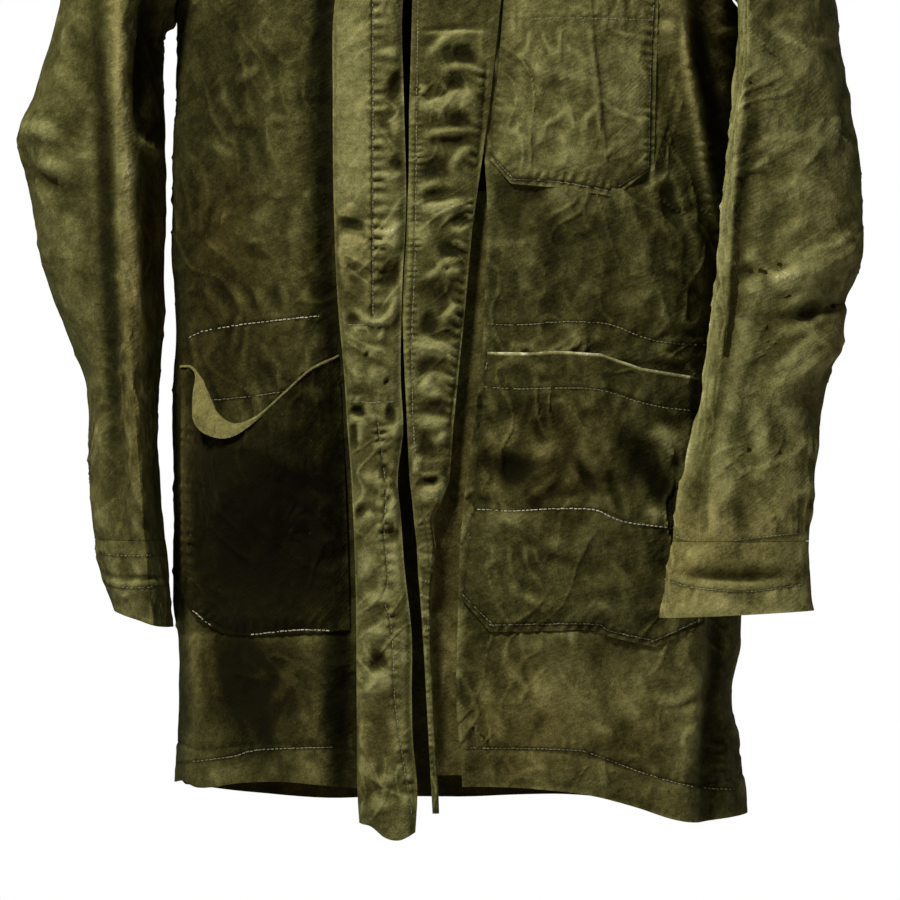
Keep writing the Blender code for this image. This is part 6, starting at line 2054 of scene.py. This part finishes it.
def armhole_ring(side):
    """The armhole's edge from the underarm by way of the front, and how a sleeve leaves it."""
    rise = np.linspace(0, 1, ROUND_COLUMNS // 2 + 1)
    front_edge = pairs(*armhole(rise, side, "front"))
    back_edge = pairs(*armhole(rise, side, "back"))
    ring = np.concatenate([front_edge, back_edge[-2:0:-1]])
    rises = np.concatenate([rise, rise[-2:0:-1]])[:, None]
    points = torso(ring[:, 0], ring[:, 1])
    normal = torso_normal(ring[:, 0], ring[:, 1])
    tangent = unit(np.roll(points, -1, axis=0) - np.roll(points, 1, axis=0))
    over = unit(np.cross(tangent, normal)) * side
    start = points + over * 0.0016 + normal * 0.0026 * (1 - rises) ** 2
    leave = unit(over * rises + normal * 0.9 + np.array([side * 0.6, 0, -0.6]) * (1.2 - rises))
    return start, leave


def round_rumple(around, down, tall, seed):
    """Small wrinkles all round a sleeve, run together where its columns meet."""
    u = (around % 4) * QUARTER_UNITS
    whole = 4 * QUARTER_UNITS
    t = ease((u - whole + 50) / 50)
    return rumple(u, down, tall, seed) * (1 - t) + rumple(u - whole, down, tall, seed) * t


def dressed(name, side, cut, grid, quiet, drawn):
    """Folds, wrinkles, wear and painted light and shade on a sleeve or a cuff."""
    outward = grid_normals(grid, True)
    middle = grid.mean(axis=1, keepdims=True)
    outward = outward * np.sign(np.sum(outward * (grid - middle)))
    around = sleeve_around(cut[2]) + 0 * grid[..., 0]
    lift = sleeve_lift(drawn["folds"], around, grid[..., 2])
    px, py = seen(grid + outward * lift[..., None])
    facing_us = ease(0.15 - outward[..., 1] / 0.35)
    down = py + 900
    fine = round_rumple(around, down, drawn["rumple"], drawn["seed"])
    fine = fine * (1 + facing_us * patches(drawn["calm"], px, py))
    fine = fine + facing_us * (creases(drawn, px, py) + puckers(drawn["puckers"], px, py))
    fine = fine * quiet
    points = grid + outward * (lift + fine)[..., None]
    # Tone: wear and painted light and shade over the folds and wrinkles, the piece's painted light level,
    # and on the side facing the view painted light and shade patches and painted shade and highlight lines;
    # hue: brownish stains and painted warm casts; inner face: painted shade and a painted reddish cast.
    tone = FINE_WEAR_AND_SHADE * wear_and_painted_shade(fine, 3, FINE_FULL, tube=True) + 0.32 * wear_and_painted_shade(lift + fine, 9, 0.0024, tube=True)
    tone = tone + drawn["base"] + facing_us * patches(drawn["painted_light_shade_and_wear"], px, py)
    tone = tone + facing_us * strokes(drawn["painted_shade_and_highlight_lines"], px, py, tapered=0.08)
    hue = facing_us * patches(drawn["brownish_and_painted_shade_hues"], px, py) + 0.1
    paint = {"tone": (tone, INSIDE_PAINTED_SHADE), "hue": (hue, INSIDE_PAINTED_WARMTH)}
    if side > 0:
        points = points[:, ::-1]
        paint["tone"] = (tone[:, ::-1], INSIDE_PAINTED_SHADE)
        paint["hue"] = (hue[:, ::-1], INSIDE_PAINTED_WARMTH)
    return cloth("cloth_" + name, points, paint, tube=True)


def sleeve(name, side, cut, lean, drawn, material):
    start, leave = armhole_ring(side)
    top = sleeve_points(cut, np.full((1, ROUND_COLUMNS), SLEEVE_TOP_Z))[0]
    reach = np.linalg.norm(top - start, axis=1)[:, None]
    first = start + leave * 0.38 * reach
    second = top + unit(np.array([-side * lean, 0, 1.0])) * 0.36 * reach
    s = np.linspace(0, 1, CAP_ROWS, endpoint=False)[:, None, None]
    cap = (1 - s) ** 3 * start + 3 * s * (1 - s) ** 2 * first + 3 * s * s * (1 - s) * second + s**3 * top
    z = np.linspace(SLEEVE_TOP_Z, CUFF_SEAM_Z + SEAM_GAP, SLEEVE_ROWS)[:, None]
    grid = np.concatenate([cap, sleeve_points(cut, z + np.zeros((1, ROUND_COLUMNS)))])
    row = np.arange(len(grid))[:, None]
    quiet = ease(row / 7) * ease((len(grid) - 1 - row) / 5)
    piece = dressed(name, side, cut, grid, quiet, drawn)
    return finish(piece, material)


def cuff(name, side, cut, end, drawn, material):
    """A cuff band, whose end runs a little aslant."""
    middle = np.full((1, ROUND_COLUMNS), (end[0] + end[1]) / 2)
    last = sleeve_points(cut, middle)[0]
    share = (last[:, 0] - last[:, 0].min()) / np.ptp(last[:, 0])
    if side < 0:
        share = 1 - share
    end_z = end[0] + (end[1] - end[0]) * share
    step = np.linspace(0, 1, 46)[:, None]
    grid = sleeve_points(cut, CUFF_SEAM_Z + (end_z - CUFF_SEAM_Z) * step)
    quiet = 0.2 + 0.8 * ease(step / 0.15) * ease((1 - step) / 0.12)
    piece = dressed(name, side, cut, grid, quiet, drawn)
    return finish(piece, material)


# --- collar -------------------------------------------------------------------------------------


def collar(material):
    """A stand round the neck and a fall turned down over it, in one wall."""
    ends = np.arcsin(np.abs(COLLAR_END_X) / NECK_HALF)
    angle = np.linspace(ends[0], FULL_TURN - ends[1], 121)
    x, z = neckline(angle)
    in_front = np.cos(angle) > 0
    turn = np.where(in_front, turn_at(x, z), turn_at(x, z, "back"))
    base = torso(turn, z)
    out = unit(np.cross(np.gradient(base, axis=0), np.array([0, 0, 1.0])))
    rows = [base + out * o + np.array([0, 0, u]) for o, u in zip(STAND_PROFILE["out"], STAND_PROFILE["up"])]
    fall_x = FALL_HALF * np.sin(angle)
    drop = np.where(in_front, FALL_FRONT_DROP, FALL_BACK_DROP)
    from_end = np.minimum(angle - angle[0], angle[-1] - angle)
    drop = drop + FALL_POINT * np.exp(-((from_end / 0.40) ** 2))
    fall_z = shoulder_z(FALL_HALF) - drop * np.abs(np.cos(angle))
    fall_turn = np.where(in_front, turn_at(fall_x, fall_z), turn_at(fall_x, fall_z, "back"))
    fall_off = FALL_OFF_FRONT + (FALL_OFF - FALL_OFF_FRONT) * ease(from_end / 0.9)
    edge = torso(fall_turn, fall_z) + torso_normal(fall_turn, fall_z) * fall_off[:, None]
    edge[:, 2] += 0.0050 * np.exp(-((np.cos(angle) / 0.35) ** 2))
    top = rows[-1]
    for share, swell in ((0.35, 0.0030), (0.70, 0.0025), (1.0, 0.0)):
        rows.append(top + (edge - top) * share + (out * 0.8 + np.array([0, 0, 0.8])) * swell)
    grid = curve(rows, 6)[:, ::-1]
    across = lengths(grid, 1)[None, :] / UNIT
    down = lengths(grid, 0)[:, None] / UNIT
    fine = rumple(across + 0 * down, down + 0 * across, 0.0008, 71)
    fine = fine * ease((down - 20) / 20) * ease((down[-1] - down) / 6)
    grid = grid + grid_normals(grid) * fine[..., None]
    # Tone: wear and painted shade on the small wrinkles, paler along the fall's edge; inner face: painted
    # shade and a painted reddish cast.
    tone = 0.3 * wear_and_painted_shade(fine, 3, 0.0005) + 0.4 * ease((down - down[-1] + 6) / 6)
    piece = cloth("cloth_collar", grid, {"tone": (tone, -0.3), "hue": (0 * tone, 0.3)})
    return finish(piece, material)


# --- sewing -------------------------------------------------------------------------------------

STITCH_LONG = 0.0027
STITCH_WIDE = 0.00070
STITCH_JUMP = 0.016  # neighbours further apart than this have crossed an edge
STITCH_LENGTHS = (0.8, 1.1)
STITCH_STRAY = 0.00012
STITCH_RISE = 0.34  # of its width, how far a stitch stands out of the cloth
STITCH_PITCH = 4.2  # in frame units, from one stitch to the next


def one_stitch():
    """A single stitch of sewing thread, lying along X, its ends sunk into the cloth."""
    bpy.ops.object.select_all(action="DESELECT")
    bpy.ops.mesh.primitive_cylinder_add(
        vertices=6, radius=STITCH_WIDE / 2, depth=STITCH_LONG, rotation=(0, np.pi / 2, 0)
    )
    stitch = bpy.context.object
    bpy.ops.object.transform_apply(rotation=True)
    bpy.ops.object.mode_set(mode="EDIT")
    bpy.ops.mesh.select_all(action="DESELECT")
    bpy.ops.object.mode_set(mode="OBJECT")
    for face in stitch.data.polygons:
        face.select = abs(face.normal.x) > 0.9
    bpy.ops.object.mode_set(mode="EDIT")
    bpy.ops.mesh.inset(thickness=STITCH_WIDE * 0.2, depth=STITCH_WIDE * 0.25)
    bpy.ops.object.mode_set(mode="OBJECT")
    for vertex in stitch.data.vertices:
        vertex.co.z -= STITCH_WIDE * 0.6 * (2 * vertex.co.x / STITCH_LONG) ** 2
    stitch.data.shade_smooth()
    return stitch


def laid(tree, line, from_behind, pitch):
    """Where the stitches of a line lie on a piece: a place, a run and a way up for each."""
    line = curve(line, 6)
    steps = np.hypot(*np.diff(line, axis=0).T)
    total = np.concatenate([[0], np.cumsum(steps)])
    at = np.arange(pitch / 2, total[-1], pitch)
    across = np.interp(at, total, line[:, 0])
    down = np.interp(at, total, line[:, 1])
    spots = []
    for px, py in zip(across, down):
        if from_behind:
            x = (FRAME_MIDDLE - px) * UNIT
            start = Vector((x, 1.0, CAMERA_AT[2] + (FRAME_MIDDLE - py) * UNIT))
            way = Vector((0, -1, 0))
        else:
            start = Vector(CAMERA_AT)
            ray = ((px - FRAME_MIDDLE) * UNIT, FRONT_REACH, (FRAME_MIDDLE - py) * UNIT)
            way = Vector(ray).normalized()
        hit, normal = tree.ray_cast(start, way)[:2]
        spots.append(None if hit is None else (hit, normal))
    return spots


def sew(name, seams, thread):
    """One joined mesh of all stitches of a kind of thread."""
    stitch = one_stitch()
    base = np.array([vertex.co for vertex in stitch.data.vertices])
    shape = [tuple(face.vertices) for face in stitch.data.polygons]
    random = np.random.RandomState(5)
    points = []
    faces = []
    for piece, line, from_behind, pitch in seams:
        spots = laid(PIECES["cloth_" + piece], line, from_behind, pitch)
        for last, spot, after in zip([spots[0]] + spots[:-1], spots, spots[1:] + [spots[-1]]):
            if last is None or spot is None or after is None or (after[0] - last[0]).length > STITCH_JUMP:
                continue
            run = after[0] - last[0]
            up = spot[1]
            run = (run - up * run.dot(up)).normalized()
            if run.length < 0.5:
                continue
            side = up.cross(run)
            turn = np.array([run, side, up])
            grown = base * (random.uniform(*STITCH_LENGTHS), 1, 1)
            middle = np.array(spot[0] + up * STITCH_WIDE * STITCH_RISE) + random.normal(0, STITCH_STRAY, 3)
            first = sum(map(len, points))
            faces += [tuple(corner + first for corner in face) for face in shape]
            points.append(grown @ turn + middle)
    bpy.data.objects.remove(stitch, do_unlink=True)
    mesh = bpy.data.meshes.new(name)
    mesh.from_pydata(np.concatenate(points).tolist(), [], faces)
    mesh.shade_smooth()
    sewn = bpy.data.objects.new(name, mesh)
    bpy.context.scene.collection.objects.link(sewn)
    sewn.data.materials.append(thread)
    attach(sewn, "root")
    return sewn


def thread_finish(name, colour, dirt):
    """Twisted cotton thread, a little grubby."""
    material = bpy.data.materials.new(name)
    material.use_nodes = True
    tree = material.node_tree
    shader = tree.nodes["Principled BSDF"]
    place = tree.nodes.new("ShaderNodeTexCoord")
    spots = tree.nodes.new("ShaderNodeTexNoise")
    spots.inputs["Scale"].default_value = 60
    spots.inputs["Detail"].default_value = 3
    tree.links.new(place.outputs["Object"], spots.inputs["Vector"])
    ramp = tree.nodes.new("ShaderNodeValToRGB")
    ramp.color_ramp.elements[0].position = 0.30
    ramp.color_ramp.elements[0].color = (*dirt, 1)
    ramp.color_ramp.elements[1].position = 0.70
    ramp.color_ramp.elements[1].color = (*colour, 1)
    tree.links.new(spots.outputs["Fac"], ramp.inputs["Fac"])
    tree.links.new(ramp.outputs["Color"], shader.inputs["Base Color"])
    fibres = tree.nodes.new("ShaderNodeTexNoise")
    fibres.inputs["Scale"].default_value = 2600
    tree.links.new(place.outputs["Object"], fibres.inputs["Vector"])
    bump = tree.nodes.new("ShaderNodeBump")
    bump.inputs["Distance"].default_value = 0.0001
    tree.links.new(fibres.outputs["Fac"], bump.inputs["Height"])
    tree.links.new(bump.outputs["Normal"], shader.inputs["Normal"])
    shader.inputs["Roughness"].default_value = 0.75
    shader.inputs["Sheen Weight"].default_value = 0.15
    return material


SEAMS_OLIVE = (
    ("right_front", WAIST_RIGHT_LOW, False, STITCH_PITCH),
    ("right_front", HEM_RIGHT, False, STITCH_PITCH),
    ("left_front", WAIST_LEFT, False, STITCH_PITCH),
    ("left_front", HEM_LEFT, False, STITCH_PITCH),
    ("chest_pocket", CHEST_LINE, False, 3.8),
    ("chest_pocket", ((500, 21), (560, 18), (650, 20)), False, 3.8),
    ("left_lower_pocket", LOW_STITCH, False, STITCH_PITCH),
    ("left_lower_pocket", ((484, 387), (520, 389), (560, 388), (600, 390), (650, 405), (700, 412)), False,
        4.2),
    ("right_button_stand", ((373, -160), (373, 150), (373, 320)), False, 3.8),
    ("right_button_stand", ((377, 415), (386, 490), (384, 530), (388, 580), (380, 600)), False, 3.8),
    ("right_button_stand", ((385, 604), (390, 620), (393, 650), (395, 700), (403, 760), (412, 815)),
        False, 3.8),
    ("right_button_stand", ((348, 325), (370, 325), (391, 324)), False, 4.2),
    ("right_button_stand", ((348, 402), (370, 402.5), (393, 402)), False, 4.2),
    ("left_fly", ((419, -60), (417, 80), (415, 260), (412, 330), (413, 420), (418, 470)), False, 3.8),
    ("right_cuff", ((88, 552), (130, 556), (178, 553)), False, 4.0),
    ("right_cuff", RIGHT_CUFF_LOW, False, 4.0),
    ("left_cuff", LEFT_CUFF_LOW, False, 4.0),
    ("right_sleeve", ((88, 538), (130, 543), (176, 540)), False, 4.0),
    ("left_sleeve", ((668, 534), (690, 541), (713, 544), (740, 540), (800, 533)), False, 4.0),
    ("back", BACK_WAIST, True, 4.6),
    ("back", BACK_WAIST_LOW, True, 4.6),
    ("back", BACK_HEM_LINE, True, 4.6),
)
SEAMS_PALE = (
    ("right_front", WAIST_RIGHT, False, 4.4),
    ("left_lower_pocket", ((464, 508), (510, 511), (550, 509), (595, 510), (625, 522), (700, 531)), False,
        4.4),
    ("right_lower_pocket", ((192, 610), (217, 630), (235, 636), (300, 630), (352, 632)), False, 4.2),
)


# --- making the pieces --------------------------------------------------------------------------


def right_edge(z):
    return read(STAND, "fold", z) + STAND_TUCK


def left_edge(z):
    return read(LEFT_EDGE, "x", z)


def stand_low(across):
    return read(STAND_HEM, "z", across, key="across")


def make_shirt():
    body = twill("body_twill")
    # The strips, pockets and sleeves get lighter copies of the body's cloth: painted light.
    strips = twill("strip_twill_painted_lighter", light=0.04)
    pockets = twill("pocket_twill_painted_lighter", light=0.02)
    arms = twill("sleeve_twill_painted_lighter", light=0.02)
    across = np.linspace(0, 1, STRIP_COLUMNS + 1)
    front(
        -1, "right_front", right_edge, RIGHT_COLUMNS, RIGHT_DRAWN, under_right_pocket,
        "right_front_cloth", body, (0.30, 0.86), 0.197,
    )
    front(
        1, "left_front", left_edge, LEFT_COLUMNS, LEFT_DRAWN, under_left_pockets,
        "left_front_cloth", body, (0.31, 0.86), 0.206,
    )
    back("back_cloth", body)
    strip(
        "right_button_stand", stand_x, stand_low(across), COLLAR_Z, stand_off, STAND_DRAWN,
        strips,
    )
    strip(
        "left_fly", fly_x, np.full(STRIP_COLUMNS + 1, FLY_LOW_Z), COLLAR_Z, fly_off, FLY_DRAWN,
        strips,
    )
    facing(body)
    chest = (CHEST_POCKET, CHEST_BOTTOM, CHEST_MOUTH)
    lower = (LEFT_POCKET, LEFT_POCKET_BOTTOM, LEFT_POCKET_MOUTH)
    patch_pocket(
        "chest_pocket", chest, 108, 141, CHEST_DRAWN, pockets
    )
    patch_pocket(
        "left_lower_pocket", lower, 126, 150, LOW_DRAWN, pockets
    )
    sagging_pocket(pockets)
    sleeve(
        "right_sleeve", -1, RIGHT_CUT, RIGHT_LEAN, RIGHT_SLEEVE_DRAWN,
        arms,
    )
    sleeve(
        "left_sleeve", 1, LEFT_CUT, LEFT_LEAN, LEFT_SLEEVE_DRAWN,
        arms,
    )
    cuff("right_cuff", -1, RIGHT_CUT, RIGHT_CUFF_END, RIGHT_CUFF_DRAWN, strips)
    cuff("left_cuff", 1, LEFT_CUT, LEFT_CUFF_END, LEFT_CUFF_DRAWN, strips)
    collar(body)


OLIVE_THREAD = ((0.19, 0.178, 0.075), (0.065, 0.059, 0.021))  # clean, grubby
PALE_THREAD = ((0.52, 0.50, 0.36), (0.20, 0.19, 0.10))

make_shirt()
sew("sewing_olive", SEAMS_OLIVE, thread_finish("olive_thread", *OLIVE_THREAD))
sew("sewing_pale", SEAMS_PALE, thread_finish("pale_thread", *PALE_THREAD))


FLOOR_Z = -1.55

# --- floor, light and camera --------------------------------------------------------------------

bpy.ops.object.select_all(action="DESELECT")
bpy.ops.mesh.primitive_plane_add(size=8, location=(0, 0, FLOOR_Z))
floor = bpy.context.object
floor.name = "floor"
bpy.ops.object.transform_apply(location=True)
paper = bpy.data.materials.new("floor_paper")
paper.use_nodes = True
paper.node_tree.nodes["Principled BSDF"].inputs["Base Color"].default_value = (0.80, 0.80, 0.79, 1)
paper.node_tree.nodes["Principled BSDF"].inputs["Roughness"].default_value = 0.9
floor.data.materials.append(paper)

LIGHTS = (
    # name, place, aimed at, size, power
    ("key", (-1.15, -1.65, 1.95), (0, 0, -0.55), 0.55, 150),
    ("fill", (2.2, -2.6, -0.2), (0, 0, -0.6), 2.0, 3),
    ("rear", (0.6, 2.4, 1.2), (0, 0, -0.5), 1.6, 36),
)
for name, place, aim, size, power in LIGHTS:
    light = bpy.data.lights.new(name, "AREA")
    light.shape = "DISK"
    light.size = size
    light.energy = power
    lamp = bpy.data.objects.new(name, light)
    lamp.location = place
    lamp.rotation_euler = (Vector(aim) - Vector(place)).to_track_quat("-Z", "Y").to_euler()
    bpy.context.scene.collection.objects.link(lamp)

world = bpy.data.worlds.new("studio")
bpy.context.scene.world = world
world.use_nodes = True
sky = world.node_tree
backdrop = sky.nodes["Background"]
dim = sky.nodes.new("ShaderNodeBackground")
chosen = sky.nodes.new("ShaderNodeMixShader")
ray = sky.nodes.new("ShaderNodeLightPath")
dim.inputs["Color"].default_value = (1, 1, 1, 1)
dim.inputs["Strength"].default_value = 0.05
backdrop.inputs["Color"].default_value = (1, 1, 1, 1)
backdrop.inputs["Strength"].default_value = 1.0
sky.links.new(ray.outputs["Is Camera Ray"], chosen.inputs["Fac"])
sky.links.new(dim.outputs["Background"], chosen.inputs[1])
sky.links.new(backdrop.outputs["Background"], chosen.inputs[2])
sky.links.new(chosen.outputs["Shader"], sky.nodes["World Output"].inputs["Surface"])

camera = bpy.data.objects.new("camera", bpy.data.cameras.new("camera"))
camera.location = CAMERA_AT
camera.rotation_euler = (np.pi / 2, 0, 0)
camera.data.lens = CAMERA_LENS
bpy.context.scene.collection.objects.link(camera)
bpy.context.scene.camera = camera
bpy.context.scene.view_settings.view_transform = "Standard"
